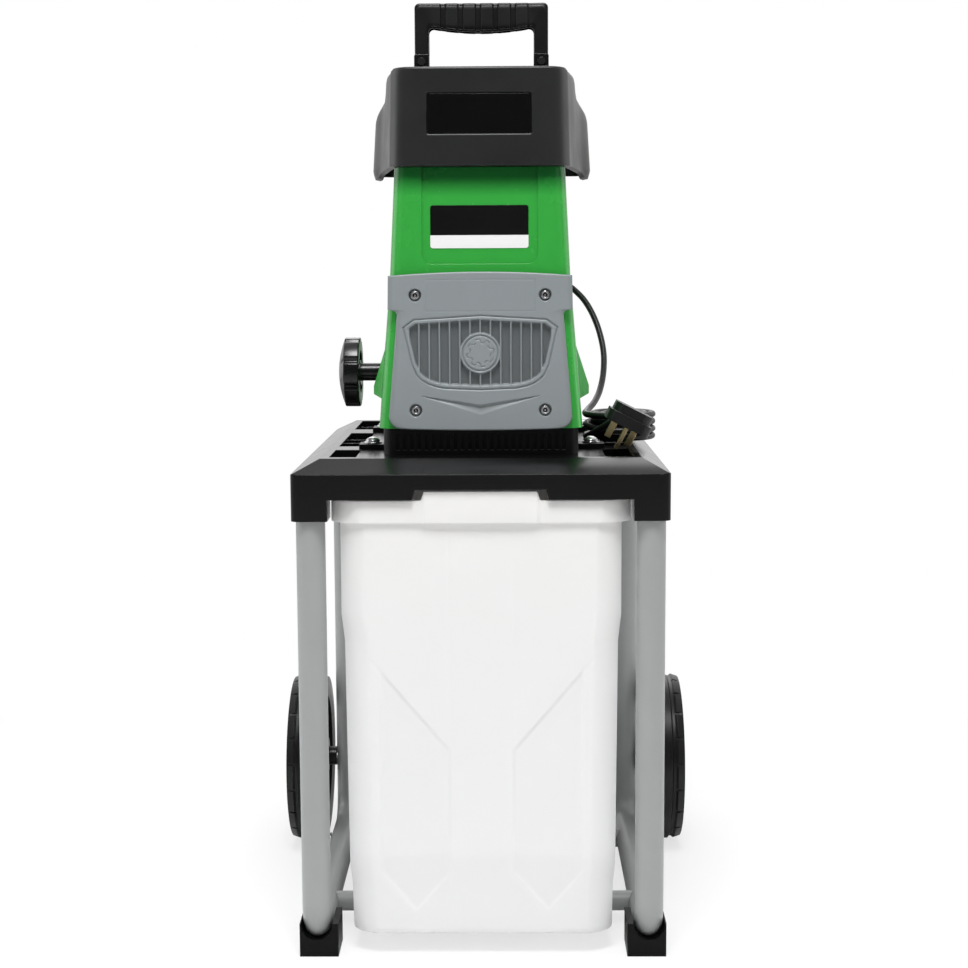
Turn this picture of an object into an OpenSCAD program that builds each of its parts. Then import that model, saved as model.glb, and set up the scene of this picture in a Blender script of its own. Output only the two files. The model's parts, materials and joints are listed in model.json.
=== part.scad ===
// Electric garden shredder on a wheeled stand with a slide-out collection box.
// Millimetres. +Z is up, +X is to the right and +Y is to the back, seen from the grille side.
// The origin is on the ground below the middle of the platform.

/* [Platform] */
// Width of the moulded platform
platform_w = 360; // [340:1:400]
// Depth of the moulded platform
platform_d = 484; // [470:1:520]
// Height of the platform's top face above the ground
platform_top = 488; // [478:1:500]
// Height of the upright rim
rim_h = 24; // [20:1:30]
// Height of the sloped border above the rim
bevel_h = 13; // [9:1:16]
// Width of the sloped border
bevel_w = 26; // [20:1:32]
// Wall of the platform
platform_wall = 4; // [3:0.5:5]
// Corner radius of the platform
platform_corner_r = 8; // [4:1:14]
// Reach of the leg sockets below the rim
socket_drop = 20.5; // [10:0.5:24]
// Wall of a leg socket round its tube
socket_wall = 3.35; // [2.5:0.05:5]
// Half width of the notch over the box's pull
notch_half = 62; // [59:1:80]
// Height of the notch over the box's pull
notch_h = 9.5; // [6:0.5:12]
// Depth of the tool pockets in the top
pocket_depth = 9; // [5:1:12]
// Width of the tool pockets
pocket_w = 26; // [18:1:30]

/* [Stand] */
// Outside diameter of the side tubes
tube_d = 28; // [24:1:32]
// Wall of all tubes
tube_wall = 1.5; // [1:0.25:2.5]
// Centre-line radius of the side tubes' bends
bend_r = 30; // [28:1:45]
// Height of the lower runs' centre line
run_z = 22; // [20:1:28]
// Diameter of the cross bars
bar_d = 20; // [16:1:22]
// Place of the front cross bar behind the front legs
front_bar_set = 86.5; // [76:0.5:96]
// Place of the rear cross bar in front of the axle
rear_bar_set = 83; // [60:1:120]
// Width of a foot
foot_w = 38; // [36:1:44]
// Height of a foot
foot_h = 33; // [30:1:38]
// Depth of a foot
foot_d = 46; // [40:1:52]

/* [Wheels] */
// Place of the axle, from the middle towards the back
axle_y = 146; // [130:1:160]
// Diameter of the wheels
wheel_d = 192; // [180:2:204]
// Width of the wheels
wheel_w = 39; // [34:1:46]
// Gap between a leg and its wheel, filled by a spacer
wheel_gap = 10.5; // [6:0.5:16]
// Diameter of the stub axles
axle_d = 10; // [8:1:12]
// Radius of the wheel hubs
hub_r = 21; // [19:1:26]
// Lugs round each tread
tread_lugs = 20; // [12:1:28]

/* [Collection box] */
// Width of the box below its rim
box_w = 269; // [240:1:274]
// Gap between the box's rim and the leg sockets
box_rim_gap = 2.2; // [1:0.1:5]
// Depth of the box
box_d = 438; // [400:1:444]
// Place of the box's front face behind the platform's front
box_front_inset = 7; // [5:0.5:10]
// Wall of the box
box_wall = 2.5; // [2:0.25:4]
// Height of the box's rim skirt
box_rim_h = 22; // [14:1:28]
// Half width of the pull at the front of the rim
pull_half = 55; // [40:1:57]
// How far the front toe hangs below the bars
toe_drop = 13.5; // [8:0.5:16]

/* [Housing] */
// Half width of the housing at its foot
foot_half = 99; // [96:0.5:104]
// Half width of the housing at the waist
waist_half = 87; // [85:0.5:90]
// Half width of the housing at its top
top_half = 82; // [78:0.5:85]
// Height of the housing's foot above the platform
skirt_h = 26; // [20:1:32]
// Height of the waist above the housing's foot
waist_h = 146; // [140:1:152]
// Height of the housing's top above the waist
neck_h = 104; // [95:1:115]
// Place of the housing's front wall behind the platform's front
housing_inset = 52; // [48:1:56]
// Depth of the front housing
front_depth = 190; // [186:1:196]
// Depth of the rear housing
rear_depth = 122; // [118:1:126]
// Wall of the housings
shell_wall = 4; // [3:0.5:5]
// Thickness of the grille panel
panel_t = 6; // [5:0.5:8]
// Ribs in the grille
grille_ribs = 13; // [7:2:17]

/* [Hopper] */
// Height of the hopper above the housing
hopper_h = 93; // [80:1:105]
// Half width of the hopper's mouth outside
hopper_half = 88; // [84:1:94]
// Half width over the hopper's side wings
wing_half = 107; // [100:1:112]
// Reach of the wings below the hopper's seat
wing_drop = 7; // [3:1:10]
// Wall of the hopper
hopper_wall = 5; // [4:0.5:6]
// Height of the handle's top above the hopper
handle_rise = 88; // [75:1:100]
// Half width over the handle's arms
handle_half = 70.4; // [60:0.2:76]
// Width of a handle arm
arm_w = 15; // [11:0.5:18]
// Bands round the grip
grip_bands = 6; // [4:1:8]

/* [Cutting unit] */
// Radius of the cutter drum over its teeth
drum_r = 38; // [34:0.5:40]
// Length of the cutter drum
drum_len = 95; // [85:1:100]
// Teeth on the cutter drum
drum_teeth = 8; // [6:1:10]
// Diameter of the drum's shaft
drum_shaft_d = 20; // [17:1:22]
// Height of the drum's axis above the platform
drum_axis_h = 84; // [80:1:88]
// Place of the drum's axis to the right of the middle
drum_x = 14; // [10:1:16]
// Gap between the counter plate and the teeth
plate_gap = 0.8; // [0.6:0.1:1.5]
// Diameter of the adjusting screw
screw_d = 12; // [10:1:14]
// Diameter of the adjusting knob
knob_d = 70; // [60:1:80]
// Thickness of the adjusting knob
knob_t = 22; // [18:1:26]
// Lobes round the knob
knob_lobes = 8; // [6:1:10]

/* [Drive] */
// Teeth of both pinions
pinion_teeth = 12; // [12:1:14]
// Teeth of both wheels of the gear train
gear_teeth = 60; // [56:1:64]
// Module of the first gear stage
module_1 = 1.25; // [1.2:0.05:1.3]
// Module of the second gear stage
module_2 = 1.75; // [1.7:0.05:1.8]
// Place of the motor's axis above the platform
motor_axis_h = 112; // [108:1:116]
// Outside radius of the stator
stator_r = 48; // [44:1:52]
// Length of the stator
stator_len = 50; // [40:1:56]
// Diameter of the motor's shaft
motor_shaft_d = 12; // [10:1:13]
// Blades of the cooling fan
fan_blades = 9; // [7:1:12]

/* [Switch] */
// Width of the switch box
switch_w = 90; // [84:1:110]
// Height of the switch box
switch_h = 84; // [76:1:90]
// Depth of the switch box
switch_d = 28; // [24:1:34]
// Diameter of the two push buttons
button_d = 22; // [18:1:25]
// Travel of the push buttons
button_travel = 3; // [2:0.5:4]

/* [Cord] */
// Diameter of the mains cord
cord_d = 6.8; // [6:0.1:8]
// Loops in each layer of the coil
coil_loops = 2; // [1:1:3]
// Layers of the coil
coil_layers = 4; // [2:2:4]
// Mean radius of the coil's outer loops
coil_r = 37; // [34:0.5:44]

/* [Hidden] */
$fn = 64;

// Clearances: fixed pieces, sliding pieces, running shafts, and overlap of cuts
fit_gap = 0.15;
slide_gap = 0.3;
run_gap = 0.05;
eps = 1;

// Colours
plastic_black = [0.08, 0.08, 0.085];
plastic_grey = [0.44, 0.46, 0.49];
plastic_green = [0.12, 0.55, 0.18];
plastic_white = [0.93, 0.93, 0.92];
tube_grey = [0.66, 0.67, 0.68];
steel = [0.72, 0.72, 0.74];
cast_metal = [0.62, 0.63, 0.64];
copper = [0.72, 0.42, 0.2];

// Levels and places of the platform and the stand
rim_top = platform_top - bevel_h;
rim_bottom = rim_top - rim_h;
socket_bottom = rim_bottom - socket_drop;
socket_w = tube_d + 2 * fit_gap + 2 * socket_wall;
leg_x = platform_w / 2 - socket_w / 2;
front_leg_y = -platform_d / 2 + socket_w / 2;
leg_top = rim_top - 6;
boss_h = 17;
notch_slant = 3;
pocket_x = platform_w / 2 - bevel_w - 8 - pocket_w / 2;
pocket_inset = 37;
pocket_front = -platform_d / 2 + pocket_inset;
pocket_back = platform_d / 2 - pocket_inset;
pocket_ends = [[pocket_front, pocket_front + 70], [-100, 48], [pocket_back - 113, pocket_back]];
pocket_ribs = [1, 3, 2];
leg_screw_r = 2;
leg_screw_z = socket_bottom + 14;
bar_bolt_r = 3;
front_bar_y = front_leg_y + front_bar_set;
rear_bar_y = axle_y - rear_bar_set;
bar_top = run_z + bar_d / 2;
bar_plug = 30;
foot_front = front_leg_y - 8.5;
foot_shift = 2.5;
foot_wall = 5;
foot_recess = 4;
cradle_r = tube_d / 2 + 1.3;
cradle_z = foot_h - 1;

// Wheel places along X, measured outwards from the middle
leg_out = leg_x + tube_d / 2;
wheel_in = leg_out + wheel_gap;
wheel_out = wheel_in + wheel_w;
wheel_r = wheel_d / 2;
tyre_h = 20;
axle_head_t = 6.4;
axle_head_af = 17;
nut_t = 8;
nut_recess = 15;
axle_end = wheel_out - 7.5;

// Collection box places
box_y0 = -platform_d / 2 + box_front_inset;
box_y1 = box_y0 + box_d;
box_floor = bar_top + slide_gap;
box_rim_top = rim_bottom - 1;
box_rim_half = leg_x - socket_w / 2 - box_rim_gap;
box_rim_reach = box_rim_half - box_w / 2;
box_rim_front = 5;
box_steps = [[7, 0], [7, 70], [5, 90], [3, 315], [0, 335]];
box_lean = 8;
box_lean_h = 70;
toe_back = front_bar_y - bar_d / 2 - 3;

// Housing levels
foot_z = platform_top + skirt_h;
waist_z = foot_z + waist_h;
housing_top = waist_z + neck_h;
front_y = -platform_d / 2 + housing_inset;
seam_y = front_y + front_depth;
rear_y = seam_y + rear_depth;
rear_top = waist_z + 48;
neck_lean = 5;
skirt_half = foot_half - 4;
skirt_wall = 5;
bolt_x = skirt_half + 15;
bolt_ys = [front_y + 73, seam_y + 70];
bolt_d = 8;
bolt_lug_t = 5;
panel_screw_x = 62.3;
panel_screw_zs = [foot_z + 18, foot_z + 128.5];
pilot_r = 2.2;

// Hopper and handle places
hopper_z = housing_top;
hopper_top = hopper_z + hopper_h;
hopper_y0 = front_y - 7;
hopper_y1 = seam_y + 10;
wing_y0 = hopper_y0 + 42;
wing_y1 = hopper_y1 - 4;
wing_h = 41;
handle_top = hopper_top + handle_rise;
lug_h = 34.5;
lug_over = 0.4;
lug_t = 6;
arm_d = 20;
arm_below = 36;

// Cutting unit places
drum_z = platform_top + drum_axis_h;
drum_y = front_y + 92;
drum_y0 = drum_y - drum_len / 2;
drum_y1 = drum_y + drum_len / 2;
end_gap = 1.5;
end_wall = 10;
side_wall = 9;
chamber_y0 = drum_y0 - end_gap - end_wall;
chamber_y1 = drum_y1 + end_gap + end_wall;
chamber_top = drum_z + 62;
chamber_x1 = drum_x + drum_r + 1 + side_wall;
chamber_x0 = drum_x - drum_r - 48;
feed_half = 42;
bearing_w = end_wall - 1;
bearing_r = drum_shaft_d / 2 + 8;
plate_x1 = drum_x - drum_r * cos(35);
plate_t = 26;
plate_x0 = drum_x - drum_r - plate_gap - plate_t;
plate_z0 = drum_z - 26;
plate_z1 = drum_z + 26;
screw_z = drum_z - 8;
screw_tip = 6;
bush_r = screw_d / 2 + 4;
knob_x1 = -(foot_half + 23.7);
knob_x0 = knob_x1 - knob_t;
knob_hub_r = 9;
knob_hub_x1 = -(foot_half + 2);
bulge_half = foot_half + 8;

// Gear train: centre distances, the place of the layshaft, and the angles of mesh
pressure_angle = 25;
addendum = 0.8;
dedendum = 1.05;
backlash = 0.24;
motor_x = 0;
motor_z = platform_top + motor_axis_h;
centres_1 = (pinion_teeth + gear_teeth) * module_1 / 2;
centres_2 = (pinion_teeth + gear_teeth) * module_2 / 2;
axis_gap = norm([motor_x - drum_x, motor_z - drum_z]);
axis_along = (centres_2 * centres_2 - centres_1 * centres_1 + axis_gap * axis_gap) / (2 * axis_gap);
axis_across = sqrt(centres_2 * centres_2 - axis_along * axis_along);
axis_unit = [motor_x - drum_x, motor_z - drum_z] / axis_gap;
lay_x = drum_x + axis_along * axis_unit[0] + axis_across * axis_unit[1];
lay_z = drum_z + axis_along * axis_unit[1] - axis_across * axis_unit[0];
mesh_1 = atan2(lay_z - motor_z, lay_x - motor_x);
mesh_2 = atan2(drum_z - lay_z, drum_x - lay_x);
case_wall = 4;
case_y0 = chamber_y1;
stage_2_y0 = case_y0 + case_wall + 1.5;
stage_2_y1 = stage_2_y0 + 14;
case_split = stage_2_y1 + 1.5;
stage_1_y0 = case_split + 1.5;
stage_1_y1 = stage_1_y0 + 10;
cover_y1 = stage_1_y1 + 1.5 + case_wall;
lay_shaft_r = 5;
motor_bearing_r = 13;
motor_bearing_w = 8;
stator_y0 = cover_y1 + 25;
stator_y1 = stator_y0 + stator_len;
bore_r = stator_r - 22;
air_gap = 0.4;
end_turn = 16;
cap_y1 = stator_y1 + end_turn + 2 + motor_bearing_w;
fan_y0 = cap_y1 + 2;
fan_t = 12;
motor_bolt_r = stator_r - 4;
capacitor_r = 17;
capacitor_x = foot_half - 36;
capacitor_y0 = seam_y + 16;
capacitor_len = 70;
tray_t = 3;
tray_x0 = capacitor_x - capacitor_r - 4;

// Switch box places
switch_z0 = rear_top - 6 - switch_h;
switch_z1 = switch_z0 + switch_h;
switch_y1 = rear_y + switch_d;
switch_wall = 4;
inner_y = switch_y1 - switch_wall;
button_x = 20;
button_z = switch_z1 - 26;
lower_z = switch_z0 + 24;
button_rim = 1.6;
selector_r = 13;
reset_r = 6;
gland_z = switch_z0 + 34;
gland_y = rear_y + switch_d / 2;
gland_len = 30;
gland_r = 8;

// Coil and route of the cord: from the gland to the coil and on to the plug, points chosen by hand
cord_r = cord_d / 2;
layer_step = cord_d + 0.8;
loop_step = cord_d + 1.0;
coil_x = 146;
coil_y = -26;
coil_z = platform_top + slide_gap + cord_r;
gland_end_x = switch_w / 2 + gland_len;
coil_in = [coil_x - coil_r, coil_y + cord_d, coil_z + (coil_layers - 1) * layer_step];
coil_out = [coil_x - coil_r, coil_y - cord_d, coil_z];
lead_points = [
    [gland_end_x, gland_y, gland_z], [84, 136, 652], [95, 135.5, 648.5], [105, 134, 641], [115, 130, 630],
    [124, 123, 614], [131, 112, 594], [134.5, 96, 572], [133, 76, 551], [128, 53, 534], [121, 30, 523],
    [113, 8, 516.5], [109.5, -8, 514.7], coil_in + [0, cord_d, 0], coil_in
];
tail_points = [
    coil_out, coil_out - [0, cord_d, 0], [110.5, -50, 493.5], [116, -62, 498], [124, -71.5, 504],
    [134, -79, 511], [143, -87, 516.8], [147.5, -96, 519], [148, -101, 519.4], [148, -106, 519.4]
];
rings_per_loop = 24;
coil_rings = coil_layers * coil_loops * rings_per_loop;
coil_points = concat([coil_in], [for (i = [0 : coil_rings]) coil_turn(i / rings_per_loop)], [coil_out]);

// Plug and its pins
plug_lean = 27;
plug_w = 46;
plug_d = 44;
plug_t = 20;
plug_base_t = 0.55 * plug_t;
plug_neck = 10;
plug_at = tail_points[len(tail_points) - 1] - [0, plug_neck + plug_d / 2, 0];
pin_y = 11;
pin_x = 11;
pin_w = 6.3;
pin_t = 4;
pin_len = 17.7;
earth_len = 22.7;
earth_w = 8;

// Points of an arc about (cx, cy) from angle a0 to a1 in n steps
function arc(cx, cy, r, a0, a1, n) =
    [for (i = [0 : n]) [cx + r * cos(a0 + (a1 - a0) * i / n), cy + r * sin(a0 + (a1 - a0) * i / n)]];

// A right half outline with its mirror image joined on
function both_sides(half) =
    concat(half, [for (i = [len(half) - 1 : -1 : 0]) if (half[i][0] != 0) [-half[i][0], half[i][1]]]);

// A rectangle with round corners, about its middle
module rounded_rect(w, d, r) {
    square([w - 2 * r, d], center = true);
    square([w, d - 2 * r], center = true);
    for (x = [-1, 1], y = [-1, 1])
        translate([x * (w / 2 - r), y * (d / 2 - r)]) circle(r);
}

// An outline in X and Z, drawn out along Y from y0 to y1
module along_y(y0, y1, x = 0, z = 0) {
    translate([x, y1, z]) rotate([90, 0, 0]) linear_extrude(y1 - y0) children();
}

// An outline in Y and Z, drawn out along X from x0 to x1
module along_x(x0, x1, y = 0, z = 0) {
    translate([x0, y, z]) rotate([90, 0, 90]) linear_extrude(x1 - x0) children();
}

// A round bar along Y or X
module bar_y(r, y0, y1, x, z) {
    translate([x, y0, z]) rotate([-90, 0, 0]) cylinder(r = r, h = y1 - y0);
}
module bar_x(r, x0, x1, y, z) {
    translate([x0, y, z]) rotate([0, 90, 0]) cylinder(r = r, h = x1 - x0);
}

// A thin level of a loft: half width, front and back places, and corner radius at height z
module level(z, half, y0, y1, r) {
    translate([0, (y0 + y1) / 2, z]) linear_extrude(0.02) rounded_rect(2 * half, y1 - y0, r, $fn = 32);
}

// Copies on the left and on the right
module both() {
    children();
    mirror([1, 0, 0]) children();
}

// Cross section of the platform's border, drawn in by inset all round
module border_profile(half, inset) {
    slope = bevel_h / bevel_w;
    slant = inset * sqrt(1 + slope * slope);
    side = half - inset;
    low = rim_top + inset * slope - slant;
    flat = half - (platform_top - inset + slant - rim_top) / slope;
    bottom = rim_bottom - (inset > 0 ? eps : 0);
    polygon(both_sides([[side, bottom], [side, low], [flat, platform_top - inset]]));
}

// The platform's outer form, or its hollow where inset is the wall
module platform_form(inset) {
    intersection() {
        along_y(-platform_d, platform_d) border_profile(platform_w / 2, inset);
        along_x(-platform_w, platform_w) border_profile(platform_d / 2, inset);
        linear_extrude(2 * platform_top)
            rounded_rect(platform_w - 2 * inset, platform_d - 2 * inset, platform_corner_r);
    }
}

// The four leg places
module at_legs() {
    for (x = [-1, 1], y = [front_leg_y, axle_y])
        translate([x * leg_x, y, 0]) children();
}

// The four bolt places round the housing's foot
module at_bolts() {
    for (x = [-1, 1], y = bolt_ys)
        translate([x * bolt_x, y, 0]) children();
}

// Tool pockets, grown by grow, between two heights
module pockets(grow, top, bottom) {
    for (x = [-1, 1], ends = pocket_ends)
        translate([x * pocket_x - pocket_w / 2 - grow, ends[0] - grow, bottom])
            cube([pocket_w + 2 * grow, ends[1] - ends[0] + 2 * grow, top - bottom]);
}

module platform() {
    floor_t = 3;
    rib_t = 2;
    color(plastic_black) difference() {
        union() {
            difference() {
                platform_form(0);
                platform_form(platform_wall);
            }
            intersection() {
                at_legs() translate([-socket_w / 2, -socket_w / 2, socket_bottom])
                    cube([socket_w, socket_w, rim_top - eps - socket_bottom]);
                linear_extrude(rim_top) rounded_rect(platform_w, platform_d, platform_corner_r);
            }
            pockets(floor_t, platform_top - eps, platform_top - pocket_depth - floor_t);
            at_bolts() translate([0, 0, platform_top - boss_h - eps])
                cylinder(d = 2.4 * bolt_d, h = boss_h);
        }
        difference() {
            pockets(0, platform_top + eps, platform_top - pocket_depth);
            for (x = [-1, 1], i = [0 : len(pocket_ends) - 1], k = [1 : pocket_ribs[i]]) {
                pitch = (pocket_ends[i][1] - pocket_ends[i][0]) / (pocket_ribs[i] + 1);
                translate([x * pocket_x - pocket_w / 2 - eps, pocket_ends[i][0] + k * pitch - rib_t / 2,
                    platform_top - pocket_depth - eps])
                    cube([pocket_w + 2 * eps, rib_t, pocket_depth - floor_t]);
            }
        }
        at_legs() translate([0, 0, socket_bottom - eps])
            cylinder(d = tube_d + 2 * fit_gap, h = leg_top + fit_gap - socket_bottom + eps);
        at_bolts() translate([0, 0, rim_bottom]) cylinder(d = bolt_d + 2 * fit_gap, h = platform_top);
        translate([-feed_half, drum_y0 - end_gap, rim_bottom])
            cube([2 * feed_half, drum_len + 2 * end_gap, rim_h + bevel_h + eps]);
        along_y(-platform_d / 2 - eps, -platform_d / 2 + platform_wall + eps, 0, rim_bottom)
            polygon(both_sides([[notch_half + notch_slant, -eps], [notch_half, notch_h]]));
        at_legs() bar_y(leg_screw_r + fit_gap, 0, socket_w, 0, leg_screw_z);
    }
}

// Path of one side tube: front leg, lower run and rear leg
module side_path(d, ends) {
    low = run_z + bend_r;
    translate([0, front_leg_y, low]) cylinder(d = d, h = leg_top + ends - low);
    translate([0, axle_y, low]) cylinder(d = d, h = leg_top + ends - low);
    bar_y(d / 2, front_leg_y + bend_r, axle_y - bend_r, 0, run_z);
    translate([0, front_leg_y + bend_r, low]) rotate([0, 90, 0]) rotate([0, 0, -90])
        rotate_extrude(angle = 90) translate([bend_r, 0]) circle(d = d);
    translate([0, axle_y - bend_r, low]) rotate([0, 90, 0])
        rotate_extrude(angle = 90) translate([bend_r, 0]) circle(d = d);
}

module side_frame(side) {
    color(tube_grey) difference() {
        translate([side * leg_x, 0, 0]) side_path(tube_d, 0);
        translate([side * leg_x, 0, 0]) side_path(tube_d - 2 * tube_wall, eps);
        bar_x(axle_d / 2 + fit_gap, -platform_w, platform_w, axle_y, wheel_r);
        for (y = [front_bar_y, rear_bar_y])
            bar_x(bar_bolt_r + fit_gap, -platform_w, platform_w, y, run_z);
        at_legs() bar_y(leg_screw_r + fit_gap, 0, socket_w, 0, leg_screw_z);
    }
}
module left_side_frame() { side_frame(-1); }
module right_side_frame() { side_frame(1); }

// A cross bar, its ends shaped to the side tubes
module cross_bar(y) {
    color(tube_grey) difference() {
        bar_x(bar_d / 2, -leg_x, leg_x, y, run_z);
        bar_x(bar_d / 2 - tube_wall, -leg_x + bar_plug, leg_x - bar_plug, y, run_z);
        both() translate([leg_x, 0, 0]) bar_y(tube_d / 2 + fit_gap, y - bar_d, y + bar_d, 0, run_z);
        both() bar_x(bar_bolt_r + fit_gap, leg_x - bar_plug - eps, leg_x, y, run_z);
    }
}
module front_cross_bar() { cross_bar(front_bar_y); }
module rear_cross_bar() { cross_bar(rear_bar_y); }

// Dome-headed bolts through the side tubes into the bars
module bar_bolts() {
    color(steel) for (y = [front_bar_y, rear_bar_y]) both() {
        bar_x(bar_bolt_r, leg_x - bar_plug, leg_out + eps, y, run_z);
        translate([leg_out, y, run_z]) rotate([0, 90, 0]) cylinder(r1 = 7, r2 = 4, h = 3.5);
    }
}

// Pan-headed screws behind the leg sockets
module leg_screws() {
    color(steel) at_legs() {
        bar_y(leg_screw_r, tube_d / 2 - 3, socket_w / 2 + eps, 0, leg_screw_z);
        bar_y(2 * leg_screw_r, socket_w / 2, socket_w / 2 + 2.6, 0, leg_screw_z);
    }
}

// A foot that cradles the front bend of a side tube, open above and set a little inwards
module foot(side) {
    x = side * (leg_x - foot_shift);
    middle = foot_front + foot_d / 2;
    color(plastic_black) difference() {
        translate([x, middle, 0]) linear_extrude(foot_h) rounded_rect(foot_w, foot_d, 1);
        translate([side * leg_x, 0, 0]) side_path(tube_d + 2 * fit_gap, 0);
        along_y(foot_front - eps, foot_front + foot_d + eps, side * leg_x, cradle_z) {
            circle(cradle_r);
            translate([-cradle_r, 0]) square([2 * cradle_r, foot_h]);
        }
        translate([x, middle, -eps]) linear_extrude(foot_recess + eps)
            rounded_rect(foot_w - 2 * foot_wall, foot_d - 2 * foot_wall, 2);
    }
}
module left_foot() { foot(-1); }
module right_foot() { foot(1); }

// Half section of a wheel: radius and place across the width, which runs from 0 (inside) to wheel_w
module wheel_section() {
    rim_r = wheel_r - tyre_h;
    crown = 3;
    groove = 2.5;
    web_0 = wheel_w / 2 - 4;
    web_1 = wheel_w / 2 + 4;
    polygon([
        [axle_d / 2 + run_gap, 0], [hub_r, 0], [hub_r, web_0], [rim_r - 4, web_0], [rim_r - 4, 2],
        [rim_r + 4, 0],
        [wheel_r - crown, 0.5], [wheel_r - 0.6, wheel_w * 0.2],
        [wheel_r - groove, wheel_w * 0.26], [wheel_r - groove, wheel_w * 0.34], [wheel_r, wheel_w * 0.38],
        [wheel_r, wheel_w * 0.62], [wheel_r - groove, wheel_w * 0.66], [wheel_r - groove, wheel_w * 0.74],
        [wheel_r - 0.6, wheel_w * 0.8], [wheel_r - crown, wheel_w - 0.5],
        [rim_r + 4, wheel_w], [rim_r - 4, wheel_w - 2], [rim_r - 4, web_1], [hub_r, web_1],
        [hub_r, wheel_w - 1], [nut_recess, wheel_w - 1], [nut_recess, wheel_w - nut_t - 6.5],
        [axle_d / 2 + run_gap, wheel_w - nut_t - 6.5]
    ]);
}

// A moulded wheel with a grooved tread, shoulder lugs and round holes in its web
module wheel() {
    web_holes = 6;
    hole_r = (wheel_r - tyre_h - 4 - hub_r) / 2 - 5;
    hole_at = (wheel_r - tyre_h - 4 + hub_r) / 2;
    slot_w = 3;
    slot_depth = 2.6;
    difference() {
        rotate_extrude($fn = 128) wheel_section();
        for (i = [0 : web_holes - 1])
            rotate([0, 0, 360 * (i + 0.5) / web_holes]) translate([hole_at, 0, -eps])
                cylinder(r = hole_r, h = wheel_w + 2 * eps);
        for (i = [0 : tread_lugs - 1], top = [0, 1])
            rotate([0, 0, 360 * (i + top / 2) / tread_lugs])
                translate([wheel_r - slot_depth, -slot_w / 2, top * wheel_w * 0.76 - eps])
                    cube([slot_depth + eps, slot_w, wheel_w * 0.24 + eps]);
    }
}
module at_wheel(side, x) {
    translate([side * x, axle_y, wheel_r]) rotate([0, side * 90, 0]) children();
}
module left_wheel() { color(plastic_black) at_wheel(-1, wheel_in) wheel(); }
module right_wheel() { color(plastic_black) at_wheel(1, wheel_in) wheel(); }

// A domed cap pressed into the hub over the nut
module hub_cap() {
    seat = wheel_w - 6;
    rotate_extrude() polygon(concat(
        [[0, seat + 2], [nut_recess - 3, seat + 2], [nut_recess - 3, seat], [nut_recess - fit_gap, seat],
         [nut_recess - fit_gap, wheel_w - 1], [hub_r - 1, wheel_w - 1], [hub_r - 1, wheel_w - 0.4]],
        [[nut_recess - 2, wheel_w], [0, wheel_w]]));
}
module left_hub_cap() { color(plastic_black) at_wheel(-1, wheel_in) hub_cap(); }
module right_hub_cap() { color(plastic_black) at_wheel(1, wheel_in) hub_cap(); }

// Stub axles: a hexagon head inside the leg and a shank out through the wheel
module axle_bolts() {
    head_x = leg_x - tube_d / 2 - fit_gap;
    color(steel) both() {
        bar_x(axle_d / 2, head_x - eps, axle_end, axle_y, wheel_r);
        translate([head_x - axle_head_t, axle_y, wheel_r]) rotate([0, 90, 0])
            cylinder(d = axle_head_af / cos(30), h = axle_head_t, $fn = 6);
    }
}
module axle_spacers() {
    color(plastic_black) both() difference() {
        bar_x(axle_d / 2 + 6, leg_out + fit_gap, wheel_in - slide_gap, axle_y, wheel_r);
        bar_x(axle_d / 2 + fit_gap, leg_out - eps, wheel_in + eps, axle_y, wheel_r);
    }
}
module axle_nuts() {
    nut_x = wheel_out - nut_t - 6.5 + slide_gap;
    color(steel) both() difference() {
        translate([nut_x, axle_y, wheel_r]) rotate([0, 90, 0])
            cylinder(d = axle_head_af / cos(30), h = nut_t - 1, $fn = 6);
        bar_x(axle_d / 2 + run_gap, nut_x - eps, wheel_out, axle_y, wheel_r);
    }
}

// Front view of the box: half widths step out with height
function box_half(inset) = concat(
    [for (step = box_steps) [box_w / 2 - step[0] - inset, step[1]]],
    [[box_w / 2 - inset, box_rim_top + eps]]);

// Side view of the box: the toe hangs in front of the front bar and the floor rides on the bars
function box_side(inset) = [
    [box_y0 + box_lean + inset, box_floor - toe_drop + inset],
    [toe_back - inset, box_floor - toe_drop + inset], [toe_back + 2 - inset, box_floor + inset],
    [box_y1 - box_lean - inset, box_floor + inset], [box_y1 - inset, box_rim_top + eps],
    [box_y0 + inset, box_rim_top + eps], [box_y0 + inset, box_floor + box_lean_h]
];

// Plan of the box: chamfered corners
module box_plan(grow) {
    chamfer = 25;
    w = box_w / 2 + grow;
    polygon(both_sides([
        [w - chamfer, box_y0 - grow], [w, box_y0 - grow + chamfer],
        [w, box_y1 + grow - chamfer], [w - chamfer, box_y1 + grow]
    ]));
}
module box_form(inset) {
    intersection() {
        along_y(-platform_d, platform_d) polygon(both_sides(box_half(inset)));
        along_x(-platform_w, platform_w) polygon(box_side(inset));
        linear_extrude(box_rim_top + (inset > 0 ? eps : 0)) box_plan(-inset);
    }
}

// A pennant-shaped panel pressed into the front face: slanted top, pointed foot
module pennant() {
    outer = 97;
    inner = 31;
    foot = box_floor + 52.7;
    polygon([
        [outer, foot + 199], [inner, foot + 122], [inner, foot],
        [(inner + outer) / 2, foot - 38.5], [outer, foot]
    ]);
}

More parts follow.
